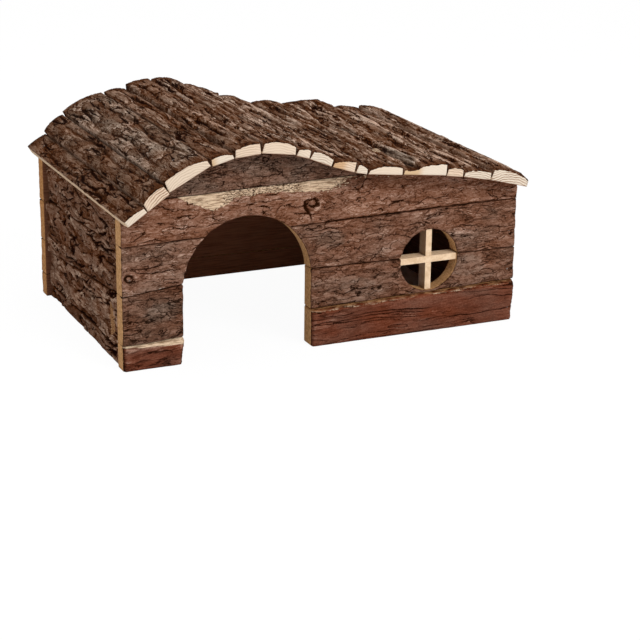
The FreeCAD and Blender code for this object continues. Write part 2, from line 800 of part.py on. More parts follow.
def build():
    """Every piece of the house, by name, with the number of solids that it holds."""
    bodies = front_boards()
    bodies.update(back_boards())
    bodies.update(side_boards("left", "side_inset"))
    bodies.update(side_boards("right", "wall_length - side_inset - wall_thickness"))
    for body in bodies.values():
        body.Placement = Placement(Vector(-shift_x, -shift_y, 0), Rotation())
    for number in range(1, SLAT_COUNT + 1):
        bodies[f"roof_slat_{number:02d}"] = furrowed(number, roof_slat(number))
    roof_pilots = shape_object("roof_pilot_holes", roof_brads(size("brad_fit")))
    wall_pilots = shape_object("wall_pilot_holes", wall_brads(size("brad_fit")))
    pieces = {}
    for name, body in bodies.items():
        if name.startswith("roof_slat"):
            pieces[name] = (drilled(name, body, roof_pilots), 1)
        elif name in ("front_lintel_board", "back_upper_board"):
            inner = drilled(name + "_under_roof", body, roof_pilots)
            pieces[name] = (drilled(name, inner, wall_pilots), 1)
        elif "crest" in name:
            pieces[name] = (drilled(name, body, roof_pilots), 1)
        else:
            pieces[name] = (drilled(name, body, wall_pilots), 1)
    bars = {
        "window_crossbar": window_bar("window_crossbar", f"( {BAR_DEPTH} ) / 2 - bar_fit / 2"),
        "window_upright": window_bar("window_upright", "0"),
    }
    centre = Vector(worked_out(WINDOW_X), size("bar_recess"), worked_out(WINDOW_Z))
    centre -= Vector(shift_x, shift_y, 0)
    turns = {"window_crossbar": 0, "window_upright": 90}
    for name, body in bars.items():
        body.Placement = Placement(centre, Rotation(Vector(0, 1, 0), turns[name]))
        body.Label = name
        pieces[name] = (body, 1)
    nails = roof_brads(0)
    pieces["roof_brads"] = (shape_object("roof_brads", nails), len(nails))
    nails = wall_brads(0)
    pieces["wall_brads"] = (shape_object("wall_brads", nails), len(nails))
    return pieces


def check(pieces):
    """Stop if anything failed, or if a piece isn't the whole solid that it should be."""
    for item in doc.Objects:
        if "Invalid" in item.State or "Error" in item.State:
            raise RuntimeError(f"{item.Label} failed: {item.State}")
    for name, (item, solids) in pieces.items():
        shape = item.Shape
        if shape.isNull() or not shape.isValid():
            raise RuntimeError(f"{name} has no valid shape")
        if len(shape.Solids) != solids:
            raise RuntimeError(f"{name} has {len(shape.Solids)} solids, not {solids}")


def export(pieces):
    os.makedirs("parts", exist_ok=True)
    for name, (item, _) in pieces.items():
        item.Shape.exportStep(f"parts/{name}.step")


house = build()
doc.recompute()
check(house)
export(house)
print(f"{len(house)} pieces, slat widths times {slat_factor:.4f}")
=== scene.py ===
"""The finish of a small-pet house of bark-faced boards: bark, sawn wood, window bars and brads.

Places are in metres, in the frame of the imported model. Patterns in bark and wood are worked out in
millimetres along the grain, across it and down from the bark face of each board.
"""

import math
from functools import cache
from typing import NamedTuple

import bmesh
import bpy
import numpy as np
from bpy.props import FloatProperty, FloatVectorProperty, PointerProperty
from mathutils import Matrix, Vector


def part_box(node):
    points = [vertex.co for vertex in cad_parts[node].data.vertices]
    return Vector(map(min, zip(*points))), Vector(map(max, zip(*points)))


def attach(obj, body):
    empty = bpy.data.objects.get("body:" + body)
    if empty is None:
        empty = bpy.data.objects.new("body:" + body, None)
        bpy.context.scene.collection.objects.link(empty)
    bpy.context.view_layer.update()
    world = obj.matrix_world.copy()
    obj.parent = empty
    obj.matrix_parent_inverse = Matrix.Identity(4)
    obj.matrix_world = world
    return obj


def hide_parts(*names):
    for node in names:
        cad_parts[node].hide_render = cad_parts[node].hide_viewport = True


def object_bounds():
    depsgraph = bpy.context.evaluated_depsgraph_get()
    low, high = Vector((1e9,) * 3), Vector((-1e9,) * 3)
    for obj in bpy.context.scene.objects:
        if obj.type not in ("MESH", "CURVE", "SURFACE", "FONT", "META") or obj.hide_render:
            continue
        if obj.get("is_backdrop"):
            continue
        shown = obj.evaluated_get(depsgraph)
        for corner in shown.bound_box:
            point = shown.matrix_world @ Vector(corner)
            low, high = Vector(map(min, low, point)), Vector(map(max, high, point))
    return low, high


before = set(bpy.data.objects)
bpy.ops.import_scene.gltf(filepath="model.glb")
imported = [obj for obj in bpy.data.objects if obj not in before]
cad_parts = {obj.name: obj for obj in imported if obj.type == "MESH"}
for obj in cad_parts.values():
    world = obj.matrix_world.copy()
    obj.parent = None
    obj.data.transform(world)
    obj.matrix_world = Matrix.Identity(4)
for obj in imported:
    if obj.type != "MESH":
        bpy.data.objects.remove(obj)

bl_info = {
    "name": "Bark House",
    "version": (1, 0, 0),
    "blender": (4, 5, 0),
    "location": "3D View > Sidebar > Bark House",
    "description": "Gives a bark-board pet house its bark, sawn wood, window bars and studio",
    "category": "Object",
}

CAD_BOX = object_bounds()
MM = 1000.0

FRONT_BOARDS = (
    "front_lower_board_left",
    "front_middle_board_left",
    "front_lower_board_right",
    "front_middle_board_right",
    "front_lintel_board",
    "front_crest_board",
)
FRONT_SILLS = ("front_sill_left", "front_sill_right")
BACK_BOARDS = (
    "back_sill_board",
    "back_lower_board",
    "back_middle_board",
    "back_upper_board",
    "back_crest_board",
)
LEFT_BOARDS = ("left_bottom_board", "left_lower_board", "left_upper_board", "left_top_board")
RIGHT_BOARDS = ("right_bottom_board", "right_lower_board", "right_upper_board", "right_top_board")
ROOF_SLATS = tuple(f"roof_slat_{number:02d}" for number in range(1, 16))
WINDOW_BARS = ("window_crossbar", "window_upright")
BRADS = ("roof_brads", "wall_brads")
ALL_BOARDS = FRONT_BOARDS + FRONT_SILLS + BACK_BOARDS + LEFT_BOARDS + RIGHT_BOARDS + ROOF_SLATS

# Each board's pattern has a seed of its own, and is shifted by this much, in mm, for each seed
SEEDS = {node: number * 7 + 3 for number, node in enumerate(ALL_BOARDS)}
SEED_SHIFT = (311.0, 127.0)

# The front wall's left end and face, and its openings, in mm from that end and from the floor
LEFT_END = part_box("front_sill_left")[0].x * MM
FRONT_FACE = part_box("front_lintel_board")[0].y * MM
DOOR_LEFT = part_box("front_sill_left")[1].x * MM - LEFT_END
DOOR_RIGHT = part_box("front_sill_right")[0].x * MM - LEFT_END
DOOR_MIDDLE, DOOR_HALF = (DOOR_LEFT + DOOR_RIGHT) / 2, (DOOR_RIGHT - DOOR_LEFT) / 2
DOOR_TOP = 101.2
WINDOW_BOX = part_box("window_crossbar")
WINDOW_RADIUS = (WINDOW_BOX[1].x - WINDOW_BOX[0].x) * MM / 2
WINDOW_MIDDLE = (
    (WINDOW_BOX[0].x + WINDOW_BOX[1].x) * MM / 2 - LEFT_END,
    (WINDOW_BOX[0].z + WINDOW_BOX[1].z) * MM / 2,
)
# How far from an opening, in mm, a board's edge stops being its rim
DOOR_RIM = (1.5, 2.5)
WINDOW_RIM = (1.0, 2.0)


# Sizes and colours that can be changed


def length(name, description, default):
    """A size given in millimetres, kept in metres."""
    return FloatProperty(
        name=name,
        description=description,
        default=default / MM,
        min=0.0,
        subtype="DISTANCE",
        unit="LENGTH",
        precision=5,
    )


def paint(name, description, default):
    """A colour, as linear red, green and blue."""
    return FloatVectorProperty(
        name=name, description=description, default=default, min=0.0, max=1.0, subtype="COLOR", size=3
    )


def amount(name, description, default, subtype="NONE"):
    """A share, a count or a strength."""
    return FloatProperty(
        name=name, description=description, default=default, min=0.0, subtype=subtype
    )


def bearing(name, description, degrees):
    """An angle given in degrees, kept in radians."""
    return FloatProperty(
        name=name, description=description, default=math.radians(degrees), subtype="ANGLE"
    )


BARK_SETTINGS = (
    (length, "Flake length", "How long a flake is along the grain"),
    (length, "Flake width", "How wide a flake is across the grain"),
    (length, "Flake height", "How far a flake stands over the next"),
    (amount, "Layers", "How many layers of flakes show"),
    (length, "Crack depth", "How deep the long cracks are"),
    (length, "Crack width", "Half the width of a wide crack"),
    (amount, "Cross cracks", "How open the cracks across the grain are"),
    (length, "Furrow depth", "How deep the broad furrows are"),
    (length, "Rise", "How far the bark stands out from the solid at most"),
    (amount, "Wander", "How much lines stray across the grain"),
    # The contrast is partly painted light and shade: raised bark lighter, hollows darker
    (amount, "Contrast", "How much the height changes the tone"),
    # The edge shade is painted shade at the foot of flakes' edges, and half of it is a painted
    # highlight on their lips
    (amount, "Edge shade", "How dark the foot of a flake's edge is"),
    (length, "Plate length", "How long a small plate is along the grain"),
    (length, "Plate width", "How wide a small plate is across the grain"),
    (amount, "Plate edge", "How dark the outline of a small plate is"),
    (paint, "Crevice", "Colour down in the cracks"),
    (paint, "Shade", "Colour of the low flakes"),
    (paint, "Face", "Colour of most of the bark"),
    # The crest colour is reached by worn edges and by painted highlights
    (paint, "Crest", "Colour of worn edges"),
)


def bark_sizes(flake, crack, form, plate, colours):
    """The settings of one kind of bark: flakes, cracks, form, small plates and four tones."""
    values = (*flake, *crack, *form, *plate, *colours)
    return {
        name.lower().replace(" ", "_"): kind(name, description, value)
        for (kind, name, description), value in zip(BARK_SETTINGS, values, strict=True)
    }


class WallBark(bpy.types.PropertyGroup):
    """The thin flaky bark of the front and back walls."""

    __annotations__ = bark_sizes(
        (22.0, 6.8, 0.30, 2.2),
        (0.7, 0.25, 0.7),
        (0.25, 0.8, 0.6, 0.26, 0.30),
        (11.0, 4.2, 0.26),
        ((0.019, 0.006, 0.002), (0.112, 0.047, 0.026), (0.204, 0.103, 0.067), (0.44, 0.29, 0.22)),
    )


class SideBark(bpy.types.PropertyGroup):
    """The thick broken bark of the side walls."""

    __annotations__ = bark_sizes(
        (54.0, 17.0, 1.0, 1.8),
        (2.6, 0.95, 1.1),
        (1.2, 1.3, 0.7, 0.32, 0.50),
        (17.0, 6.5, 0.24),
        ((0.015, 0.003, 0.001), (0.084, 0.026, 0.007), (0.172, 0.085, 0.051), (0.46, 0.31, 0.22)),
    )


class RoofBark(bpy.types.PropertyGroup):
    """The furrowed bark of the roof slats."""

    __annotations__ = bark_sizes(
        (66.0, 9.0, 0.85, 1.9),
        (2.4, 0.88, 0.75),
        (1.1, 1.2, 0.45, 0.28, 0.52),
        (26.0, 6.0, 0.33),
        ((0.013, 0.003, 0.001), (0.066, 0.021, 0.006), (0.158, 0.086, 0.053), (0.50, 0.35, 0.265)),
    )


class SillBark(bpy.types.PropertyGroup):
    """The thin smooth red bark of the two sills."""

    __annotations__ = bark_sizes(
        (84.0, 8.0, 0.25, 1.2),
        (0.9, 0.34, 0.3),
        (0.12, 0.3, 0.8, 0.17, 0.40),
        (30.0, 4.5, 0.14),
        ((0.024, 0.006, 0.002), (0.096, 0.029, 0.015), (0.150, 0.051, 0.029), (0.30, 0.16, 0.11)),
    )


class SawnWood(bpy.types.PropertyGroup):
    """The wood under the bark."""

    bark_edge: length("Bark edge", "Thickness of bark that shows at a sawn edge", 1.1)
    ring_width: length("Ring width", "Distance between growth rings", 1.7)
    pith_depth: length("Pith depth", "How far the middle of the log lies under the bark", 34.0)
    end_grain: paint("End grain", "Colour of the slats' sawn ends", (0.66, 0.56, 0.44))
    late_wood: paint("Late wood", "Colour of the growth rings", (0.29, 0.165, 0.10))
    board_end: paint("Board end", "Colour of the wall boards' sawn edges", (0.46, 0.255, 0.115))
    inside: paint("Inside", "Colour of the boards' inner faces", (0.38, 0.16, 0.085))
    bare: paint("Bare wood", "Colour where the bark has come away", (0.67, 0.50, 0.345))
    planed: paint("Planed wood", "Colour of the window bars", (0.74, 0.55, 0.37))
    bar_edge: length("Bar edge", "How far the window bars' edges are eased", 0.25)


class Studio(bpy.types.PropertyGroup):
    """Camera and lights."""

    camera_place: FloatVectorProperty(
        name="Camera place",
        description="Where the camera stands",
        default=(-0.5432, -1.2757, 0.4621),
        subtype="TRANSLATION",
        unit="LENGTH",
    )
    camera_round: bearing("Round", "How far the camera stands to the left of the front", 24.6)
    camera_down: bearing("Down", "How far the camera looks down", 18.87)
    camera_roll: bearing("Roll", "How far the camera is rolled", 0.75)
    focal_length: amount("Focal length", "Focal length of the camera, in mm", 108.5)
    key_power: amount("Key power", "Power of the light at the front right", 26.0, "POWER")
    top_power: amount("Top power", "Power of the light over the house", 12.0, "POWER")
    fill: amount("Fill", "Strength of the light from all round", 0.55)


class HouseSettings(bpy.types.PropertyGroup):
    """Everything about the finish that can be changed."""

    wall_bark: PointerProperty(type=WallBark)
    side_bark: PointerProperty(type=SideBark)
    roof_bark: PointerProperty(type=RoofBark)
    sill_bark: PointerProperty(type=SillBark)
    wood: PointerProperty(type=SawnWood)
    studio: PointerProperty(type=Studio)
    mesh_step: length("Mesh step", "Width of the patches of a board's mesh", 0.8)
    grain_stretch: amount("Grain stretch", "How much longer than wide those patches are", 1.5)


# Patterns, in millimetres


# Large odd factors that mix the bits of a column, a row and a seed, and then of all three
MIXERS = (374761393, 668265263, 1442695041, 1274126177)
BITS = 0xFFFFFF


def scattered(column, row, seed):
    """Numbers spread evenly from 0 to 1, one for each square of a grid."""
    mixed = column * MIXERS[0] + row * MIXERS[1] + seed * MIXERS[2]
    mixed = (mixed ^ (mixed >> 13)) * MIXERS[3]
    return ((mixed ^ (mixed >> 16)) & BITS) / BITS


def swell(x, y, seed):
    """Smooth noise about zero, with swells about one unit across."""
    column, row = np.floor(x), np.floor(y)
    along, up = x - column, y - row
    column, row = column.astype(np.int64), row.astype(np.int64)
    share_x = along**3 * (along * (along * 6 - 15) + 10)
    share_y = up**3 * (up * (up * 6 - 15) + 10)
    total = 0.0
    for i in (0, 1):
        for j in (0, 1):
            angle = scattered(column + i, row + j, seed) * 2 * math.pi
            rise = np.cos(angle) * (along - i) + np.sin(angle) * (up - j)
            total = total + rise * (share_x if i else 1 - share_x) * (share_y if j else 1 - share_y)
    return total * 1.5


def layered(x, y, seed, octaves, gain=0.5):
    """Swells with smaller swells on them."""
    total, strength, full = 0.0, 1.0, 0.0
    for octave in range(octaves):
        total = total + strength * swell(x * 2**octave, y * 2**octave, seed + octave)
        full += strength
        strength *= gain
    return total / full


def ease(low, high, x):
    """From 0 at low to 1 at high, with soft ends."""
    share = np.clip((x - low) / (high - low), 0, 1)
    return share * share * (3 - 2 * share)


# How far apart, in mm, a field is read for its slope, and the least slope that it is taken to have
SLOPE_STEP = 0.4
LEAST_SLOPE = 1e-3


def sloped(field, u, v):
    """A field with its slope, per mm."""
    here = field(u, v)
    slope_u = (field(u + SLOPE_STEP, v) - here) / SLOPE_STEP
    slope_v = (field(u, v + SLOPE_STEP) - here) / SLOPE_STEP
    return here, np.hypot(slope_u, slope_v) + LEAST_SLOPE


# Half the width, in mm, of the narrowest crack that the mesh can hold, and of the narrowest drawn
CARVED_WIDTH = 0.8
DRAWN_WIDTH = 0.05
# Past this many widths from a crack, its distance doesn't matter
FAR = 6.0


def crack(field, u, v, width):
    """How deep a crack is carved, and how far each place is from it, in widths, with its sign."""
    here, slope = sloped(field, u, v)
    carved = 1 - ease(0.0, 1.0, np.abs(here / slope) / np.maximum(width, CARVED_WIDTH))
    away = np.clip(here / slope / np.maximum(width, DRAWN_WIDTH), -FAR, FAR)
    return carved * np.clip(width / CARVED_WIDTH, 0, 1), away


class BarkPattern:
    """Flakes and cracks over a board, as values for each of its places.

    The sizes of most patterns are shares of a flake's, and the rest are in mm.
    """

    def __init__(self, bark, seed, look):
        self.long, self.wide = bark.flake_length * MM * look.long, bark.flake_width * MM * look.wide
        self.height, self.layers = bark.flake_height * MM * look.rough, bark.layers
        self.depth, self.gape = bark.crack_depth * MM * look.rough, bark.crack_width * MM
        self.cross, self.furrow = bark.cross_cracks, bark.furrow_depth * MM * look.rough**2
        self.wander, self.seed, self.rough = bark.wander, seed, look.rough

    def noise(self, u, v, long, wide, number, octaves, gain=0.5):
        """Noise with patches long by wide, in mm, and with a number of its own."""
        return layered(u / long, v / wide, self.seed + number, octaves, gain)

    def bent(self, u, v):
        """Places moved about, so that lines along the grain wander."""
        along = self.noise(u, v, self.long * 0.7, self.wide, 10, 2)
        across = self.noise(u, v, self.long * 0.6, self.wide * 1.5, 20, 4)
        return u + 0.3 * self.long * along, v + 0.7 * self.wander * self.wide * across

    def flakes(self, u, v):
        """The level of each place: a layer of flakes ends at every whole number."""
        u, v = self.bent(u, v)
        return self.noise(u, v, self.long, self.wide, 40, 4, 0.46) * self.layers * 2.0

    def long_line(self, u, v):
        """A field that is nought along the long cracks."""
        u, v = self.bent(u, v)
        return self.noise(u, v, self.long * 1.5, self.wide * 0.8, 60, 3, 0.4)

    def cross_line(self, u, v):
        """A field that is nought along the cracks across the grain."""
        u, v = self.bent(u, v)
        return self.noise(u, v, self.long * 0.35, self.wide, 80, 3)

    def lay(self, u, v):
        """How deep each place lies, its tone and redness, and how near it is to edges and cracks."""
        level, slope = sloped(self.flakes, u, v)
        part = level % 1.0
        climb = np.floor(level) + 0.85 * ease(0.0, 0.14, part) + 0.15 * part
        long_open = np.clip(self.noise(u, v, self.long, self.wide * 2.2, 70, 2) * 3.0 + 0.45, 0, 1.5)
        cross_open = np.clip(self.noise(u, v, 14, 6, 90, 2) * 3.0, 0, 1.3) * self.cross
        long_cut, long_away = crack(self.long_line, u, v, self.gape * long_open)
        cross_cut, cross_away = crack(self.cross_line, u, v, self.gape * cross_open)
        furrow = self.noise(*self.bent(u, v), self.long * 1.4, self.wide * 1.3, 30, 2)
        calm = ease(-0.35, 0.05, self.noise(u, v, self.long * 0.8, self.wide * 1.6, 75, 2))
        cracks = self.depth * (long_cut + 0.5 * cross_cut)
        clouds = 0.17 * self.noise(u, v, 38, 14, 95, 3) + 0.09 * self.noise(u, v, 9, 4, 93, 2)
        return {
            "down": cracks - self.height * climb - self.furrow * 2.0 * furrow,
            "tone": self.rough * clouds,
            "redness": self.noise(u, v, 30, 12, 98, 3),
            "flake": np.stack([level, slope, np.full(len(level), self.seed)], 1),
            "split": np.stack([long_away, cross_away, np.zeros(len(level))], 1),
            "gape": np.stack([ease(0.1, 0.6, long_open), ease(0.1, 0.6, cross_open), calm], 1),
        }


# Boards


def new_object(name, data):
    """An object in the scene."""
    piece = bpy.data.objects.new(name, data)
    bpy.context.scene.collection.objects.link(piece)
    return piece


def mesh_of(shape, name):
    """A mesh with an edited shape, which is freed."""
    mesh = bpy.data.meshes.new(name)
    shape.to_mesh(mesh)
    shape.free()
    return mesh


# Corners nearer than this, in metres, are one
WELD = 1e-6


def merged(node):
    """A closed copy of a CAD node's mesh, for editing."""
    copy = bmesh.new()
    copy.from_mesh(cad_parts[node].data)
    bmesh.ops.remove_doubles(copy, verts=copy.verts, dist=WELD)
    return copy


def islands(shape):
    """The corners of each separate solid in a mesh."""
    left = set(shape.verts)
    while left:
        waiting, found = [left.pop()], []
        while waiting:
            corner = waiting.pop()
            found.append(corner)
            for edge in corner.link_edges:
                other = edge.other_vert(corner)
                if other in left:
                    left.remove(other)
                    waiting.append(other)
        yield np.array([corner.co for corner in found])


def brad_lines():
    """The middle, direction and half length of every brad."""
    lines = []
    for node in BRADS:
        shape = merged(node)
        for corners in islands(shape):
            middle = corners.mean(0)
            axis = np.linalg.svd(corners - middle)[2][0]
            lines.append((middle, axis, np.abs((corners - middle) @ axis).max()))
        shape.free()
    return lines


BRAD_LINES = brad_lines()
# How far, in metres, a pilot hole's wall is from its brad's line, and reaches past its ends
PILOT_REACH = 0.0009
PILOT_MARGIN = 0.003


def close_pilot_holes(shape):
    """Take away the walls of the brads' pilot holes and fill their mouths."""
    shape.verts.index_update()
    corners = np.array([corner.co for corner in shape.verts])
    inside = np.zeros(len(corners), bool)
    for middle, axis, half in BRAD_LINES:
        along = (corners - middle) @ axis
        away = np.linalg.norm(corners - middle - along[:, None] * axis, axis=1)
        inside |= (away < PILOT_REACH) & (np.abs(along) < half + PILOT_MARGIN)
    walls = [face for face in shape.faces if all(inside[corner.index] for corner in face.verts)]
    bmesh.ops.delete(shape, geom=walls, context="FACES")
    rims = [edge for edge in shape.edges if len(edge.link_faces) == 1]
    bmesh.ops.holes_fill(shape, edges=rims, sides=0)
    if any(len(edge.link_faces) != 2 for edge in shape.edges):
        raise RuntimeError("a board is still open after its pilot holes were closed")


# A slat's underside looks down more than this. The line of its bark face is read within this far
# of its end, and at least this far above the underside, in mm
UNDERSIDE = -0.7
END_BAND = 0.5
FACE_CLEAR = 2.0


class Lay:
    """How a board lies: along its grain, across it, and down from its bark face.

    A board with a flat bark face is given its way down. A slat's underside gives it, and its bark
    face follows the line that its end has.
    """

    def __init__(self, shape, grain, down=None):
        flat = down is not None
        if not flat:
            lowest = [face for face in shape.faces if face.normal.z < UNDERSIDE]
            down = max(lowest, key=lambda face: face.calc_area()).normal
        self.grain, down = Vector(grain), Vector(down)
        across = self.grain.cross(down)
        if across.z + across.x < 0:
            across.negate()
        self.axes = np.array([self.grain, across, down])
        corners = np.array([corner.co for corner in shape.verts]) @ self.axes.T * MM
        self.floor = corners[:, 2].max()
        if flat:
            self.face_v, self.face_t = np.array([0.0]), np.array([corners[:, 2].min()])
        else:
            at_end = corners[:, 0] < corners[:, 0].min() + END_BAND
            outer = corners[at_end & (corners[:, 2] < self.floor - FACE_CLEAR)]
            outer = outer[np.argsort(outer[:, 1])]
            self.face_v, self.face_t = outer[:, 1], outer[:, 2]

    def face(self, v):
        """Where the bark face is at a place across the grain."""
        return np.interp(v, self.face_v, self.face_t)

    def to_board(self, places):
        """Places in metres as mm along, across and down from the bark face."""
        board = places @ self.axes.T * MM
        board[:, 2] -= self.face(board[:, 1])
        return board

    def to_house(self, board):
        """The way back."""
        placed = board.copy()
        placed[:, 2] += self.face(board[:, 1])
        return placed @ self.axes / MM


def even_mesh(shape, lay, step, stretch):
    """A dense even mesh of a closed shape, with its patches drawn out along the grain."""
    axes = lay.axes.copy()
    if np.linalg.det(axes) < 0:
        axes[0] *= -1
    turn = Matrix.Diagonal((1 / stretch, 1, 1)) @ Matrix(axes.tolist())
    shape.transform(turn.to_4x4())
    rough = mesh_of(shape, "rough")
    board = new_object("rough", rough)
    remesh = board.modifiers.new("even", "REMESH")
    remesh.mode = "VOXEL"
    remesh.voxel_size = step
    remesh.adaptivity = 0.0
    depsgraph = bpy.context.evaluated_depsgraph_get()
    even = bpy.data.meshes.new_from_object(board.evaluated_get(depsgraph))
    bpy.data.objects.remove(board)
    bpy.data.meshes.remove(rough)
    even.transform(turn.inverted().to_4x4())
    return even


def read(mesh, name):
    """Positions or normals of a mesh's corners."""
    values = np.empty(len(mesh.vertices) * 3, np.float32)
    mesh.vertices.foreach_get(name, values)
    return values.reshape(-1, 3).astype(float)


def smoothed(mesh, values, rounds):
    """Values at the corners, averaged with their neighbours again and again."""
    ends = np.empty(len(mesh.edges) * 2, np.int32)
    mesh.edges.foreach_get("vertices", ends)
    ends = ends.reshape(-1, 2)
    count = np.bincount(ends.ravel(), minlength=len(values))
    for _ in range(rounds):
        total = np.bincount(ends[:, 0], values[ends[:, 1]], len(values))
        total += np.bincount(ends[:, 1], values[ends[:, 0]], len(values))
        values = 0.5 * values + 0.5 * total / count
    return values


def store(mesh, name, kind, values):
    """Keep a value for each corner of a mesh, for its material."""
    attribute = mesh.attributes.new(name, kind, "POINT")
    field = "vector" if kind == "FLOAT_VECTOR" else "value"
    attribute.data.foreach_set(field, np.ascontiguousarray(values, np.float32).ravel())


def on_board(place, lay):
    """A place given in mm in the walls' own frame, along and across a board."""
    x, y, z = place
    house = np.array([[x + LEFT_END, y + FRONT_FACE, z]]) / MM
    return lay.to_board(house)[0, :2]


def joined(first, second):
    """One signed distance that is nought on either of two lines."""
    return np.sign(first) * np.sign(second) * np.minimum(np.abs(first), np.abs(second))


def thinned(away, half):
    """Signed distance from a line that is broad, by its half width."""
    return np.sign(away) * np.maximum(np.abs(away) - half, 0.01)


class Knot:
    """A swirl in the bark that the grain bends round, with a crack that runs out of it.

    Its place and sizes are in mm and its angles in degrees. The swirl winds from its radius in to
    the inner share of it. The heavier its line is, the broader.
    """

    # How much longer than wide the swirl is, half the width of its line, and on which side painted
    # shade falls
    STRETCH = 1.3
    LINE = 0.6
    DARK_SIDE = math.radians(205)

    def __init__(self, place, radius, start, tail, heading=None, inner=0.3, heavy=0.0):
        self.place, self.radius = place, radius
        self.start, self.tail = math.radians(start), tail
        self.heading = self.start if heading is None else math.radians(heading)
        self.inner, self.heavy = inner, heavy

    def settle(self, lay):
        """Find the knot's middle on its board."""
        self.u, self.v = on_board(self.place, lay)

    def reach(self, u, v):
        """Distance from the knot's middle, 1 at its rim."""
        return np.hypot((u - self.u) / self.STRETCH, v - self.v) / self.radius

    def bend(self, u, v):
        """The grain is pushed apart by the knot."""
        push = np.exp(-self.reach(u, v) ** 2 / 2.6)
        return v - (v - self.v) * push * 0.8

    def away(self, u, v):
        """Signed distance in mm from the line of the swirl and its tail, which may be broad."""
        wobble = 1 + 0.25 * layered(u / self.radius, v / self.radius, 7, 3)
        angle = np.arctan2(v - self.v, u - self.u)
        wound = self.inner + (1 - self.inner) * ((angle - self.start) / (2 * math.pi) % 1.0)
        swirl = (self.reach(u, v) * wobble - wound) * self.radius
        blotchy = 0.5 + 0.45 * np.cos(angle) + 1.6 * layered(u / 1.6, v / 1.2, 9, 2)
        swirl = thinned(swirl, self.heavy * np.maximum(blotchy, 0.0))
        from_u = u - self.u - self.radius * self.STRETCH * math.cos(self.start)
        from_v = v - self.v - self.radius * math.sin(self.start)
        cos, sin = math.cos(self.heading), math.sin(self.heading)
        along = from_u * cos + from_v * sin
        aside = from_v * cos - from_u * sin + 0.5 * np.sin(along / 1.7)
        aside = thinned(aside, self.heavy * np.clip(1 - along / self.tail, 0, 1))
        past = np.maximum(np.abs(along - self.tail / 2) - self.tail / 2, 0)
        return joined(swirl, aside + np.sign(aside) * past)

    def lay(self, u, v):
        """Depth and tone of the knot, apart from its line, with painted shade in a crescent on one
        side.
        """
        reach = self.reach(u, v)
        dip = np.exp(-((reach / 0.45) ** 2))
        swelling = np.exp(-(((reach - 1.1) / 0.35) ** 2))
        line = 1 - ease(0.0, 1.0, np.abs(self.away(u, v)) / CARVED_WIDTH)
        # A crescent of painted shade on one side of the knot's rim, which also sinks a little
        lean = np.arctan2(v - self.v, u - self.u) - self.DARK_SIDE
        shaded_moat = np.exp(-(((reach - 0.95) / 0.22) ** 2)) * np.maximum(0.0, np.cos(lean))
        down = 0.8 * dip - 0.5 * swelling + 0.8 * line + shaded_moat
        return down, 0.05 * swelling + 0.12 * dip - 0.55 * shaded_moat


# Places of knots and spots are in mm from the front wall's left end, from its face and from the
# floor
KNOTS = {
    "front_lintel_board": (Knot((139.8, 0.0, 104.9), 4.4, 185.0, 11.0, -62.0, 0.35, 0.6),),
    "front_middle_board_left": (Knot((5.7, 0.0, 66.4), 3.0, -40.0, 1.0, heavy=0.4),),
    "roof_slat_04": (Knot((61.1, 50.0, 149.7), 4.5, 150.0, 8.0),),
    "roof_slat_12": (
        Knot((211.6, 146.4, 128.7), 5.0, 200.0, 10.0),
        Knot((210.8, 69.6, 128.6), 4.5, 20.0, 9.0),
    ),
    "left_upper_board": (Knot((2.5, 120.0, 57.0), 5.5, 160.0, 12.0),),
}


class Spot(NamedTuple):
    """A patch of a board that is lighter, redder, deeper, barer or smoother than the rest.

    Its place, its half sizes and how deep it lies are in mm.
    """

    place: tuple
    sizes: tuple
    tone: float = 0.0
    redness: float = 0.0
    down: float = 0.0
    bare: float = 0.0
    flat: float = 0.0

    def cover(self, u, v, lay, seed):
        """1 within the patch and 0 outside it, with a ragged edge."""
        middle_u, middle_v = on_board(self.place, lay)
        rough = 0.3 if min(self.sizes) > 3.9 else 0.2
        ragged = rough * layered(u / 4.0, v / 2.5, seed + 6, 3)
        reach = np.hypot((u - middle_u) / self.sizes[0], (v - middle_v) / self.sizes[1])
        return 1 - ease(0.75, 1.15, reach + ragged)


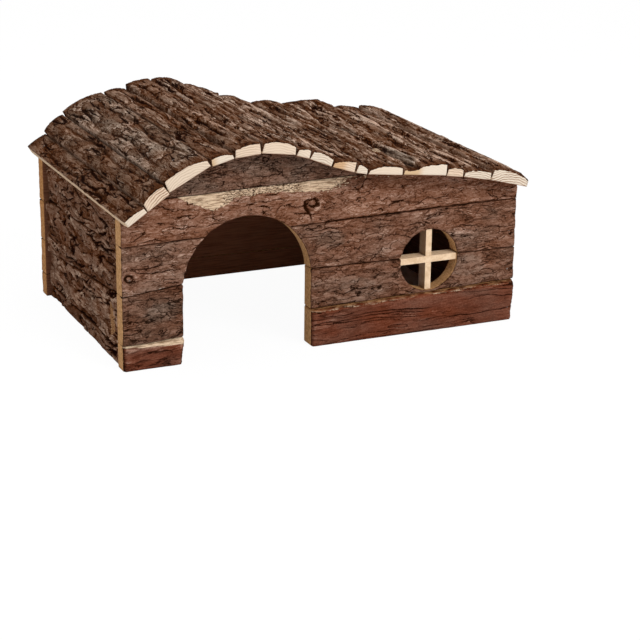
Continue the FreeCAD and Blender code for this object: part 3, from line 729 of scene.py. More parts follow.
SPOTS = {
    "front_middle_board_left": (
        Spot((4.6, 0.0, 65.4), (5.5, 4.6), tone=0.07),
        Spot((28.4, 0.0, 56.5), (2.4, 1.0), tone=0.40, redness=-0.6),
    ),
    "front_lower_board_right": (
        Spot((193.8, 0.0, 37.0), (1.5, 1.2), tone=-0.6, down=1.2),
        # These two: painted shade along the board's lower edge, over the sill
        Spot((160.0, 0.0, 27.5), (16.0, 2.6), tone=-0.22),
        Spot((203.0, 0.0, 28.5), (16.0, 2.4), tone=-0.2),
        Spot((176.0, 0.0, 41.0), (14.0, 6.0), tone=0.09, redness=-0.5),
        Spot((262.0, 0.0, 46.0), (18.0, 8.0), tone=0.08, redness=-0.5),
    ),
    "front_middle_board_right": (
        Spot((262.0, 0.0, 71.0), (16.0, 6.0), tone=0.10, redness=-0.5),
        Spot((155.0, 0.0, 78.0), (12.0, 7.0), tone=-0.06, redness=-0.5),
    ),
    "front_lower_board_left": (
        # Painted shade along the board's lower edge, over the sill
        Spot((20.0, 0.0, 22.0), (20.0, 2.0), tone=-0.2),
        Spot((30.0, 0.0, 40.0), (14.0, 7.0), tone=-0.03, redness=-0.7),
    ),
    "front_lintel_board": (
        Spot((138.0, 0.0, 104.9), (2.4, 1.6), tone=-0.12, redness=-0.5),
        Spot((186.0, 0.0, 91.2), (40.0, 1.3), tone=-0.35, down=0.5),
        Spot((256.0, 0.0, 92.2), (44.0, 1.1), tone=-0.3, down=0.4),
    ),
    "roof_slat_03": (
        Spot((43.4, 58.2, 145.0), (34.0, 6.5), tone=0.05, redness=-0.3, flat=0.4),
        Spot((36.3, 120.0, 143.0), (22.0, 6.0), tone=0.05, redness=-0.3, flat=0.4),
    ),
    "roof_slat_12": (
        Spot((206.6, 35.0, 128.3), (5.4, 3.4), down=-2.5, bare=1.0),
        Spot((214.4, 14.0, 128.6), (24.0, 5.2), tone=0.06, redness=-1.3, flat=0.75),
        Spot((213.0, 98.0, 129.0), (16.0, 4.0), tone=-0.05, redness=-0.9, down=0.6),
        Spot((224.0, 180.0, 129.0), (9.0, 4.0), tone=-0.2, down=1.8),
        Spot((211.5, -14.0, 129.0), (16.0, 5.0), down=2.0),
    ),
    "left_lower_board": (
        Spot((2.5, 139.0, 40.0), (6.0, 3.5), tone=-0.3, down=1.6),
        Spot((2.5, 35.0, 27.5), (5.0, 13.0), bare=1.0, redness=3.0, down=0.5),
    ),
    "left_bottom_board": (Spot((2.5, 35.0, 22.0), (4.0, 8.0), bare=1.0, redness=3.0, down=0.5),),
    "left_top_board": (Spot((2.5, 150.0, 97.0), (26.0, 7.0), tone=0.08, redness=0.3),),
}

# The lower edge of the strip under the crest board: mm along the wall, and mm from the floor
STRIP_U = (36.0, 46.0, 58.0, 66.0, 75.0, 82.0, 100.0, 120.0, 140.0, 152.0, 160.0, 170.0)
STRIP_V = (122.0, 116.5, 111.0, 107.3, 110.0, 114.8, 116.0, 115.6, 113.5, 113.2, 114.0, 122.0)


def lintel_strip(u, v, seed):
    """How bare the lintel's top edge is: a ragged strip that has lost its bark."""
    ragged = 1.3 * layered(u / 5.0, v / 3.0, seed + 3, 3, 0.6) + 1.1 * swell(u / 1.3, v / 2.0, seed)
    ragged = ragged - ease(146.0, 160.0, u) * (0.8 + 6.0 * swell(u / 2.6, v / 1.1, seed + 8))
    return ease(-0.35, 0.35, v + ragged - np.interp(u, STRIP_U, STRIP_V))


def lintel_thinning(u, v, seed):
    """Where the bark beside the strip has gone thin and grey."""
    ragged = 2.0 * layered(u / 8.0, v / 3.0, seed + 4, 3)
    return ease(-1.0, 1.5, v + ragged - 115.0) * ease(146, 158, u) * (1 - ease(176, 196, u))


def strip_flecks(u):
    """How flecked with bark the bare strip is along its length."""
    middle = ease(64.0, 80.0, u) * (1 - ease(126.0, 142.0, u))
    return np.maximum(middle, ease(150.0, 160.0, u))


def sill_wedge(u, v, seed):
    """How bare the left sill's top is: a long wedge, widest at the doorway."""
    ragged = 0.35 * layered(u / 7.0, v / 3.0, seed + 5, 3)
    return ease(-0.3, 0.3, v + ragged - (17.0 - 2.3 * u / 43.0))


# The boards that have lost some of their bark, and how bare they are
BARE = {"front_lintel_board": lintel_strip, "front_sill_left": sill_wedge}


class Look(NamedTuple):
    """How a board differs from the others of its kind.

    Its flakes are this many times as long, wide and rough. It is this much lighter and redder. If
    it is a slat, the growth rings on its end are this clear.
    """

    long: float = 1.0
    wide: float = 1.0
    rough: float = 1.0
    light: float = 0.0
    red: float = 0.0
    rings: float = 0.3


LOOKS = {
    "roof_slat_01": Look(0.55, 1.5, 0.55),
    "roof_slat_02": Look(0.6, 1.5, 0.5, 0.02, -0.2, 1.0),
    "roof_slat_03": Look(0.55, 1.3, 0.6, 0.06, -0.5, 0.4),
    "roof_slat_04": Look(0.8, 1.1, 0.7, 0.02),
    "roof_slat_05": Look(0.9, 0.9, 1.0, 0.03, 0.1, 0.5),
    "roof_slat_06": Look(1.1, 0.8, 1.05, rings=0.45),
    "roof_slat_07": Look(1.4, 0.6, 1.12),
    "roof_slat_08": Look(1.3, 0.6, 1.15, rings=0.6),
    "roof_slat_09": Look(1.3, 0.55, 1.15, rings=0.5),
    "roof_slat_10": Look(1.4, 0.6, 1.12),
    "roof_slat_11": Look(1.3, 0.6, 1.1, 0.05, rings=0.15),
    "roof_slat_12": Look(1.2, 0.7, 1.1, 0.06, 0.1, 0.1),
    "roof_slat_13": Look(1.4, 0.6, 1.15, 0.02, rings=0.6),
    "roof_slat_14": Look(1.3, 0.8, 1.1, 0.05, 0.2, 0.9),
    "roof_slat_15": Look(1.3, 0.7, 1.1, 0.02, rings=1.0),
    "front_crest_board": Look(0.7, 0.9, 0.95, -0.15, -0.7),
    "front_lintel_board": Look(light=0.07, red=0.6),
    "front_middle_board_left": Look(0.8, 1.0, 1.0, 0.02, -0.2),
    "front_lower_board_left": Look(light=-0.05, red=-0.3),
    "front_middle_board_right": Look(light=0.05),
    "front_lower_board_right": Look(red=-0.1),
    "front_sill_left": Look(0.35, 0.7, 1.7, -0.06),
}

# Out to the clear distance round a brad, the bark may sink by what may show of the brad, in mm, and
# beyond it by this slope more. A brad counts if it is this much in line with the way down from the
# bark face, and its head is this near that face
BRAD_SHOW = 0.45
BRAD_CLEAR = 1.1
BRAD_SLOPE = 0.7
BRAD_IN_LINE = 0.98
BRAD_NEAR = 2.0


def brad_room(lay, u, v):
    """How deep the bark may go, so that no brad stands out of it."""
    room = np.full(len(u), np.inf)
    for middle, axis, half in BRAD_LINES:
        if abs(axis @ lay.axes[2]) < BRAD_IN_LINE:
            continue
        ends = lay.to_board(np.array([middle - half * axis, middle + half * axis]))
        outer = ends[ends[:, 2].argmin()]
        if abs(outer[2]) < BRAD_NEAR:
            away = np.hypot(u - outer[0], v - outer[1])
            room = np.minimum(room, BRAD_SHOW + BRAD_SLOPE * np.maximum(0.0, away - BRAD_CLEAR))
    return room


# A bark face that leans towards a side of the house less than this doesn't reach past it
LEAST_LEAN = 0.05


def head_room(lay, places):
    """How far the bark may rise without reaching past the top or the sides of the whole house."""
    room = np.full(len(places), np.inf)
    for axis in (0, 1, 2):
        outward = -lay.axes[2][axis]
        if abs(outward) > LEAST_LEAN:
            edge = CAD_BOX[1][axis] if outward > 0 else CAD_BOX[0][axis]
            room = np.minimum(room, (edge - places[:, axis]) / outward * MM)
    return room


def dark_seam(node, u, v, facing):
    """Where a board's long edge is a seam, which takes the bark's colour, and not the rim of an
    opening.
    """
    if node in FRONT_SILLS:
        return np.zeros(len(u))
    if node == ROOF_SLATS[0]:
        return ease(-0.1, 0.1, facing[:, 1])
    if node not in FRONT_BOARDS:
        return np.ones(len(u))
    rise = np.maximum(0.0, v - (DOOR_TOP - DOOR_HALF))
    door = np.hypot(u - DOOR_MIDDLE, rise) - DOOR_HALF
    window = np.hypot(u - WINDOW_MIDDLE[0], v - WINDOW_MIDDLE[1]) - WINDOW_RADIUS
    return ease(*DOOR_RIM, np.abs(door)) * ease(*WINDOW_RIM, np.abs(window))


# Measures of the bark, in mm: how far down its shape is carried, where its flakes are loose, how
# far from a slat's end it is worn, how wide a sill's slant is, and how far a slat's sides swell
SKIN = 4.5
LOOSE = (0.4, 2.4)
END_WEAR = (2.0, 14.0)
SILL_BEVEL = 2.8
SNUG = 0.5

# Rounds of smoothing that take the flakes away, and further ones that leave only the broad form
FINE_ROUNDS = 5
BROAD_ROUNDS = 45

# The tone of level bark, how much darker its sawn rim is, and the tones of the seams' sides: painted
# light on slats' sides and painted shade on walls' sides
LEVEL_TONE = 0.552
RIM_SHADE = 0.22
SLAT_SIDE_LIGHT = 0.05
WALL_SIDE_SHADE = -0.2

# How far ragged edges draw back at the ends and the sides of boards, in mm
RAGGED_END = 0.7
RAGGED_SIDE = 0.3
RAGGED_SLAT_SIDE = -0.15

# From where to where a face turns into a long edge, by how far sideways it looks
SIDEWAYS = (0.45, 0.7)

# The share of a board, in hundredths, that lies above its bark face
ABOVE_FACE = 40

# Where slats' ends are stained, as shares of their widths
STAINS = {"roof_slat_12": (0.30, 0.50), "roof_slat_09": (0.35, 0.70), "roof_slat_04": (0.0, 0.4)}
# What marks a board whose ends have no growth rings
NO_RINGS = -1.0


class Board:
    """A board's dense mesh, which gets the shape and the values of its bark."""

    def __init__(self, node, lay, mesh, bark, wood):
        self.node, self.lay, self.mesh = node, lay, mesh
        self.bark, self.wood, self.seed = bark, wood, SEEDS[node]
        self.look, self.slat = LOOKS.get(node, Look()), node in ROOF_SLATS
        self.places = read(mesh, "co")
        self.board = lay.to_board(self.places)
        self.facing = read(mesh, "normal") @ lay.axes.T
        self.sideways = ease(*SIDEWAYS, np.abs(self.facing[:, 1]))
        self.u, self.v, self.t = self.board.T
        self.wall_u = self.u - (FRONT_FACE if abs(lay.grain.y) > 0.5 else LEFT_END)
        self.from_end = np.minimum(self.u - self.u.min(), self.u.max() - self.u)
        self.shift_u, self.shift_v = (shift * self.seed for shift in SEED_SHIFT)
        self.edge = wood.bark_edge * MM
        self.bare = np.zeros(len(self.u))

    def noise(self, long, wide, number, octaves=3, gain=0.5):
        """Noise over the board's own places, with patches long by wide, in mm."""
        return layered(self.u / long, self.v / wide, self.seed + number, octaves, gain)

    def lay_pattern(self):
        """Flakes and cracks, bent round the knots."""
        knots = KNOTS.get(self.node, ())
        bent_v = self.v
        for knot in knots:
            knot.settle(self.lay)
            bent_v = knot.bend(self.u, bent_v)
        values = BarkPattern(self.bark, self.seed, self.look).lay(
            self.u + self.shift_u, bent_v + self.shift_v
        )
        self.flake, self.split, self.gape = values["flake"], values["split"], values["gape"]
        self.tone = values["tone"] + self.look.light
        self.redness = values["redness"] + self.look.red
        self.down = values["down"] - np.percentile(values["down"], ABOVE_FACE)
        for knot in knots:
            down, tone = knot.lay(self.u, self.v)
            self.down, self.tone = self.down + down, self.tone + tone
            ratio = np.clip(knot.away(self.u, self.v) / knot.LINE, -FAR, FAR)
            self.split[:, 0] = joined(self.split[:, 0], ratio)
            self.gape[:, 0] = np.maximum(self.gape[:, 0], np.abs(ratio) < FAR / 2)

    def bevel_sill(self):
        """A sill's top edge is cut off at a slant, and its ends are rounded."""
        first, last = self.u.min(), self.u.max()
        tops = [self.v[np.abs(self.u - end) < SILL_BEVEL].max() for end in (first, last)]
        from_top = np.interp(self.u, (first, last), tops) - self.v
        slant = np.clip(1 - (from_top + 0.6 * self.noise(6.0, 2.0, 4)) / SILL_BEVEL, 0, 1)
        rounded = 1 - ease(0.0, SILL_BEVEL, self.from_end)
        self.down = self.down + SILL_BEVEL * (0.8 * slant + 0.6 * rounded**2)
        if self.node == "front_sill_right":
            self.bare = (0.47 + 0.13 * self.noise(8.0, 1.5, 5)) * ease(0.0, 0.15, slant)
            self.redness = self.redness + 3.0 * slant

    def end_lean(self):
        """How far a sill's right end leans out at its top, which is rounded off."""
        height = (self.v - self.v.min()) / np.ptp(self.v)
        near = ease(self.u.max() - 12.0, self.u.max(), self.u)
        corner = np.clip((height - 0.8) / 0.2, 0, 1) ** 2
        return near * (2.6 * height - 1.4 - 2.2 * corner + 0.8 * self.noise(30.0, 4.0, 6))

    def lay_spots(self):
        """Patches of their own colour and height, and where the bark has come away."""
        if self.node in BARE:
            self.bare = BARE[self.node](self.wall_u, self.v, self.seed)
            flecks = strip_flecks(self.wall_u) if self.node == "front_lintel_board" else 0.0
            self.redness = self.redness * (1 - self.bare) + (flecks - 1.0) * self.bare
        if self.node == "front_lintel_board":
            thin = lintel_thinning(self.wall_u, self.v, self.seed)
            self.tone, self.redness = self.tone - 0.08 * thin, self.redness - 0.3 * thin
            bare_down = self.edge * 0.9 + 0.15 * self.noise(9.0, 0.9, 7, 2)
            self.down = self.down * (1 - self.bare) + bare_down * self.bare
        for spot in SPOTS.get(self.node, ()):
            cover = spot.cover(self.u, self.v, self.lay, self.seed)
            kept = 1 - spot.flat * cover
            self.tone = self.tone * kept + spot.tone * cover
            self.redness = self.redness + spot.redness * cover
            self.down = self.down * kept + spot.down * cover
            self.gape = self.gape * kept[:, None]
            self.bare = np.maximum(self.bare, spot.bare * cover)

    def wear_ends(self):
        """Near its sawn ends a slat's bark is rubbed smooth, down to a dark red layer."""
        worn = 1 - ease(*END_WEAR, self.from_end + 9.0 * self.noise(11.0, 6.0, 2))
        self.down = self.down * (1 - 0.85 * worn)
        self.tone = self.tone * (1 - 0.6 * worn) - 0.17 * worn
        self.redness = self.redness * (1 - worn) - 0.1 * worn
        self.gape = self.gape * (1 - 0.9 * worn[:, None])

    def carve(self):
        """Move the corners, and let the height change the tone, partly as painted light and shade."""
        skin = np.minimum(SKIN, 0.85 * (self.lay.floor - self.lay.face(self.v)))
        loose = 1 - ease(*LOOSE, self.t)
        down = np.minimum(np.minimum(self.down, 0.8 * skin), brad_room(self.lay, self.u, self.v))
        down = np.maximum(down, np.where(loose > 0.5, -self.bark.rise * MM, 0.0))
        down = np.maximum(down, -head_room(self.lay, self.places))
        fine = smoothed(self.mesh, down, FINE_ROUNDS)
        broad = smoothed(self.mesh, fine, BROAD_ROUNDS)
        # Raised bark is made lighter and hollows darker: partly the wear of raised bark, partly
        # painted light and shade
        relief = 0.7 * np.clip(fine - down, -0.8, 0.5) + np.clip(broad - fine, -1.2, 0.7)
        contrast = self.bark.contrast * self.look.rough**2
        rim = RIM_SHADE * ease(0.4, 1.0, self.t)
        ragged = (0.5 + 0.5 * self.noise(7.0, 7.0, 8, 3, 0.6)) * loose
        aside = RAGGED_SIDE
        if self.slat:
            rim = rim * (1 - self.sideways)
            ragged = ragged * ease(0.0, 8.0, self.u - self.u.min())
            aside = RAGGED_SLAT_SIDE
        self.tone = LEVEL_TONE + contrast * relief + self.tone - rim
        moved = self.board.copy()
        moved[:, 0] -= self.facing[:, 0] * ragged * RAGGED_END
        moved[:, 1] -= self.facing[:, 1] * ragged * aside
        moved[:, 2] += down * np.clip(1 - self.t / skin, 0, 1)
        if self.slat:
            moved[:, 1] += np.sign(self.facing[:, 1]) * self.snug()
        if self.node in FRONT_SILLS:
            moved[:, 0] += self.end_lean()
        placed = np.clip(self.lay.to_house(moved), *CAD_BOX)
        self.mesh.vertices.foreach_set("co", placed.astype(np.float32).ravel())

    def snug(self):
        """How far a slat's side swells under its bark, against the next slat."""
        sideways = ease(0.7, 0.9, np.abs(self.facing[:, 1]))
        return SNUG * sideways * ease(2.0, 6.0, self.from_end) * ease(1.0, 2.5, self.t)

    def part_bark_from_wood(self):
        """How far each place is under the bark, which also covers the seams' sides, with painted light
        on slats' sides and painted shade on walls' sides.
        """
        rim = self.edge * (1 + 0.45 * self.noise(3.0, 3.0, 9, 2))
        seam_cover = self.sideways * dark_seam(self.node, self.wall_u, self.v, self.facing)
        self.under = np.where(self.facing[:, 2] < -0.35, -1.0, self.t - rim - 5.0 * seam_cover)
        # Painted light on the slats' sides, painted shade on the walls' sides
        self.tone = self.tone + (SLAT_SIDE_LIGHT if self.slat else WALL_SIDE_SHADE) * self.sideways
        self.gape = self.gape * (1 - self.sideways[:, None])

    def rings(self):
        """Distance from the middle of the log, counted in growth rings."""
        pith = 12.0 * (scattered(self.seed, 5, 1) - 0.5)
        middle = 0.5 * (self.v.min() + self.v.max()) + pith
        depth = self.t + self.lay.face(self.v) - self.lay.face(np.array([middle]))[0]
        reach = np.hypot(self.v - middle, self.wood.pith_depth * MM - depth)
        return reach / (self.wood.ring_width * MM)

    def stain(self):
        """How brown a slat's end is stained, how dark the right sill's top is, and painted shade on
        the back wall's sawn faces near its left end and on the right wall's sawn faces.
        """
        if self.node in STAINS:
            across = (self.v - self.v.min()) / np.ptp(self.v)
            return 1 - ease(*STAINS[self.node], across)
        # Painted shade on the back wall's sawn faces near its left end, beside the left wall
        if self.node in BACK_BOARDS:
            return 0.7 * (1 - ease(4.0, 8.0, self.wall_u))
        if self.node == "front_sill_right":
            return ease(0.4, 0.7, self.facing[:, 1])
        # Painted shade on all of the right wall's sawn faces, seen through the window
        return np.full(len(self.u), float(self.node in RIGHT_BOARDS))

    def keep(self):
        """Keep on the mesh what the materials read."""
        clear = np.full(len(self.u), self.look.rings if self.slat else NO_RINGS)
        kept = {
            "grain": np.stack([self.u + self.shift_u, self.v + self.shift_v, self.t], 1),
            "bark": np.stack([self.tone, self.redness, self.bare], 1),
            "flake": self.flake,
            "split": self.split,
            "gape": self.gape,
            "facing": self.facing,
            "wood": np.stack([self.rings(), self.stain(), clear], 1),
        }
        for name, values in kept.items():
            store(self.mesh, name, "FLOAT_VECTOR", values)
        store(self.mesh, "under", "FLOAT", self.under)


def bark_board(node, settings, bark, grain, down):
    """One board, made from its CAD node, finished and put in the node's place."""
    shape = merged(node)
    close_pilot_holes(shape)
    lay = Lay(shape, grain, down)
    step = settings.mesh_step * 1.0
    mesh = even_mesh(shape, lay, step, settings.grain_stretch)
    board = Board(node, lay, mesh, bark, settings.wood)
    board.lay_pattern()
    if node in ROOF_SLATS:
        board.wear_ends()
    if node in FRONT_SILLS:
        board.bevel_sill()
    board.lay_spots()
    board.carve()
    board.part_bark_from_wood()
    board.keep()
    mesh.shade_smooth()
    mesh.name = node + "_bark"
    piece = new_object(node + "_bark", mesh)
    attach(piece, "root")
    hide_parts(node)
    return piece


# Materials


class Nodes:
    """Adds shader nodes to a tree and joins them."""

    def __init__(self, tree):
        self.tree = tree

    def add(self, kind, inputs=(), **settings):
        node = self.tree.nodes.new("ShaderNode" + kind)
        for name, value in settings.items():
            setattr(node, name, value)
        for socket, value in dict(inputs).items():
            self.join(value, node.inputs[socket])
        return node

    def join(self, value, socket):
        """Link a socket to this one, or set this one. Colours are given without their alpha."""
        if isinstance(value, bpy.types.NodeSocket):
            self.tree.links.new(value, socket)
        elif socket.type == "RGBA":
            socket.default_value = (*value, 1.0)
        else:
            socket.default_value = value

    def math(self, operation, first, second=0.0, clamp=False):
        inputs = {0: first, 1: second}
        return self.add("Math", inputs, operation=operation, use_clamp=clamp).outputs[0]

    def plus(self, first, second):
        return self.math("ADD", first, second)

    def less(self, first, second, clamp=False):
        return self.math("SUBTRACT", first, second, clamp)

    def times(self, first, second, clamp=False):
        return self.math("MULTIPLY", first, second, clamp)

    def span(self, value, low, high, to_low=0.0, to_high=1.0):
        """A value eased from one range into another."""
        inputs = {"Value": value, 1: low, 2: high, 3: to_low, 4: to_high}
        return self.add("MapRange", inputs, interpolation_type="SMOOTHSTEP").outputs[0]

    def blend(self, share, first, second, way="MIX"):
        inputs = {0: share, 6: first, 7: second}
        return self.add("Mix", inputs, data_type="RGBA", blend_type=way).outputs[2]

    def tinted(self, colour, tint):
        return self.blend(1.0, colour, tint, "MULTIPLY")

    def ramp(self, value, places, colours):
        """A colour between the given ones, which lie at their places from 0 to 1."""
        result = colours[0]
        for low, high, colour in zip(places, places[1:], colours[1:]):
            result = self.blend(self.span(value, low, high), result, colour)
        return result

    def stretched(self, vector, amounts):
        return self.add("VectorMath", {0: vector, 1: amounts}, operation="MULTIPLY").outputs[0]

    def noise(self, vector, amounts, detail=3.0, roughness=0.5, output=0):
        """Noise over a stretched vector."""
        vector = self.stretched(vector, amounts)
        inputs = {"Vector": vector, "Scale": 1.0, "Detail": detail, "Roughness": roughness}
        return self.add("TexNoise", inputs).outputs[output]

    def parts(self, vector):
        return self.add("SeparateXYZ", {0: vector}).outputs

    def attribute(self, name):
        return self.add("Attribute", attribute_name=name).outputs


# The four tones of bark, and where they lie from the darkest to the lightest
TONES = ("Crevice", "Shade", "Face", "Crest")
TONE_PLACES = (0.0, 0.36, 0.62, 1.0)
# What both groups of nodes give
FINISH = {"Color": ("Colour",), "Float": ("Roughness", "Height")}


def new_group(name, **inputs):
    """A shader node group with named sockets of each kind, and its inner ends."""
    tree = bpy.data.node_groups.new(name, "ShaderNodeTree")
    for direction, kinds in (("INPUT", inputs), ("OUTPUT", FINISH)):
        for kind, sockets in kinds.items():
            for socket in sockets:
                tree.interface.new_socket(socket, in_out=direction, socket_type="NodeSocket" + kind)
    return tree, tree.nodes.new("NodeGroupInput").outputs, tree.nodes.new("NodeGroupOutput").inputs


@cache
def bark_group():
    """Bark: four tones picked by height and wear, with crisp flake edges and cracks and fine grain,
    and painted shade and painted highlights at the flake edges.
    """
    tree, given, made = new_group(
        "bark_face",
        Vector=("Grain", "Flake", "Split", "Gape", "Plate Scale"),
        Float=("Tone", "Redness", "Edge Shade", "Plate Edge"),
        Color=TONES,
    )
    nodes, grain = Nodes(tree), given["Grain"]
    span, plus, less, times = nodes.span, nodes.plus, nodes.less, nodes.times
    level, slope, seed = nodes.parts(given["Flake"])
    long_open, cross_open, edge_open = nodes.parts(given["Gape"])

    # Painted shade at the foot and a painted highlight at the lip of each flake's jagged edge
    jagged = nodes.noise(grain, (0.9, 1.8, 1.8), 3.0, 0.7)
    broken = nodes.noise(grain, (0.12, 0.25, 0.25), 2.0)
    part = less(nodes.math("FRACT", plus(level, 0.5)), 0.5)
    away = plus(nodes.math("DIVIDE", part, slope), span(jagged, 0.2, 0.8, -0.5, 0.5))
    foot = times(span(away, -1.3, -0.1), span(away, 0.2, 0.0))
    foot = times(times(foot, span(broken, 0.38, 0.60, 0.15, 1.0)), edge_open)
    lip = times(span(away, 1.0, 0.2), span(away, 0.0, 0.2))
    lip = times(times(lip, span(broken, 0.45, 0.65, 0.1, 1.0)), edge_open)

    # Cracks along and across the grain
    cuts = []
    for split, gape in zip(nodes.parts(given["Split"])[:2], (long_open, cross_open)):
        strayed = plus(split, span(jagged, 0.2, 0.8, -1.1, 1.1))
        cuts.append(times(span(nodes.math("ABSOLUTE", strayed), 1.2, 0.5), gape))
    cut = nodes.math("MAXIMUM", *cuts)

    # A number for each layer of flakes, and the broken outlines of small plates
    layer = plus(nodes.math("FLOOR", level), times(seed, 7.3))
    layer = nodes.add("TexWhiteNoise", {"W": layer}, noise_dimensions="1D").outputs[0]
    scaled = nodes.stretched(grain, given["Plate Scale"])
    wobble = nodes.stretched(nodes.noise(scaled, (3.5, 3.5, 3.5), output="Color"), (0.9, 0.9, 0.9))
    scaled = nodes.add("VectorMath", {0: scaled, 1: wobble}, operation="ADD").outputs[0]
    outline = nodes.add("TexVoronoi", {"Vector": scaled, "Scale": 1.0}, feature="DISTANCE_TO_EDGE")
    outline = span(outline.outputs["Distance"], 0.10, 0.02)
    outline = times(times(outline, span(broken, 0.62, 0.42, 0.15, 1.0)), given["Plate Edge"])

    streak = nodes.noise(grain, (0.16, 1.1, 1.1), 3.0, 0.6)
    grit = nodes.noise(grain, (0.7, 1.3, 1.3), 3.0, 0.65)
    tone = plus(given["Tone"], span(layer, 0.0, 1.0, -0.11, 0.11))
    tone = plus(tone, span(streak, 0.25, 0.75, -0.12, 0.12))
    tone = plus(tone, span(grit, 0.25, 0.75, -0.13, 0.13))
    tone = less(tone, outline)
    # A painted highlight on the lips, and painted shade at the feet
    tone = plus(tone, times(lip, times(given["Edge Shade"], 0.5)))
    tone = less(tone, times(foot, given["Edge Shade"]))
    tone = less(tone, times(cut, 0.62), clamp=True)
    tint = {
        "Color": nodes.ramp(tone, TONE_PLACES, [given[name] for name in TONES]),
        "Hue": span(given["Redness"], -2.0, 0.5, 0.515, 0.498),
        "Saturation": span(given["Redness"], -2.2, 0.9, 0.64, 1.08),
    }
    nodes.join(nodes.add("HueSaturation", tint).outputs[0], made["Colour"])
    nodes.join(span(tone, 0.0, 1.0, 0.95, 0.72), made["Roughness"])
    deep = plus(times(foot, 0.5), plus(cut, outline))
    fine = plus(times(grit, 0.5), times(streak, 0.5))
    nodes.join(less(fine, deep), made["Height"])
    return tree


@cache
def sawn_group():
    """Sawn wood: rings on the end grain, streaks along the grain, and a dark inner face; some slats'
    ends are stained, and the back and right walls' sawn faces carry painted shade.
    """
    tree, given, made = new_group(
        "sawn_wood", Vector=("Grain", "Facing", "Wood"), Color=("End", "Late", "Edge", "Inside")
    )
    nodes, grain = Nodes(tree), given["Grain"]
    span, plus, times = nodes.span, nodes.plus, nodes.times
    blend, tinted = nodes.blend, nodes.tinted
    ring, stain, clear = nodes.parts(given["Wood"])
    along, _, down = nodes.parts(given["Facing"])
    is_end = span(nodes.math("ABSOLUTE", along), 0.55, 0.75)
    is_inside = span(down, 0.6, 0.8)

    # The dark late wood of the growth rings
    ring = nodes.math("FRACT", plus(ring, times(nodes.noise(grain, (0.1, 0.16, 0.16)), 1.6)))
    spread = nodes.noise(grain, (0.08, 0.08, 0.08), 2.0)
    late = times(span(ring, 0.40, 0.8), span(ring, 1.0, 0.86))
    late = times(late, span(spread, 0.3, 0.65, 0.45, 1.0))
    late = times(late, clear, clamp=True)

    # Ends: marks of the saw where no rings show, and a tint for each slat where they do
    ends = blend(times(stain, 0.8), given["End"], tinted(given["End"], (0.80, 0.60, 0.38)))
    ends = blend(late, ends, given["Late"])
    marks = nodes.noise(grain, (1.1, 0.45, 1.1), 3.0, 0.7)
    marks = blend(span(marks, 0.36, 0.64), (1.34, 1.38, 1.44), (0.74, 0.69, 0.62))
    each = nodes.noise(grain, (0.004, 0.004, 0.0), 0.0)
    each = blend(span(each, 0.38, 0.62), (1.0, 0.92, 0.88), (1.0, 1.01, 1.04))
    ends = tinted(ends, blend(span(clear, 0.0, -0.5), each, marks))

    # Long edges, and inner faces, darker on the right sill's top and, as painted shade, on the back
    # wall near its left end and on the right wall
    fuzz = nodes.noise(grain, (0.6, 0.5, 0.8), 4.0, 0.7)
    edges = blend(span(fuzz, 0.42, 0.66), given["Edge"], tinted(given["Edge"], (0.58, 0.52, 0.46)))
    edges = blend(stain, edges, tinted(edges, (0.55, 0.46, 0.40)))
    fibre = nodes.noise(grain, (0.05, 1.1, 1.1), 4.0, 0.6)
    streaked = tinted(given["Inside"], (0.6, 0.5, 0.45))
    inside = blend(span(fibre, 0.35, 0.75), given["Inside"], streaked)
    inside = blend(stain, inside, tinted(inside, (0.3, 0.32, 0.35)))

    nodes.join(blend(is_inside, blend(is_end, edges, ends), inside), made["Colour"])
    nodes.join(span(fibre, 0.2, 0.8, 0.6, 0.85), made["Roughness"])
    saw = nodes.noise(grain, (1.6, 0.25, 0.25), 2.0)
    height = plus(plus(times(late, 0.5), times(fibre, 0.6)), times(saw, 0.4))
    nodes.join(height, made["Height"])
    return tree


def blank(owner):
    """A maker of nodes for an emptied material or world."""
    owner.use_nodes = True
    owner.node_tree.nodes.clear()
    return Nodes(owner.node_tree)


# How deep the bumps of each material are, in metres
BARK_BUMP = 0.0004
PLANED_BUMP = 0.0001
STEEL_BUMP = 0.00005


def close_material(nodes, colour, roughness, height, depth, **constants):
    """A Principled surface with its bump."""
    bump = nodes.add("Bump", {"Height": height, "Strength": 1.0, "Distance": depth})
    inputs = {"Base Color": colour, "Roughness": roughness, "Normal": bump.outputs[0], **constants}
    surface = nodes.add("BsdfPrincipled", inputs)
    nodes.add("OutputMaterial", {"Surface": surface.outputs[0]})


# The colours of streaks and flecks where the bark has come away, and of the fibres under it
STREAK = (0.25, 0.155, 0.09)
FLECK = (0.07, 0.035, 0.02)
FIBRES = ((0.40, 0.21, 0.095), (0.16, 0.075, 0.035))


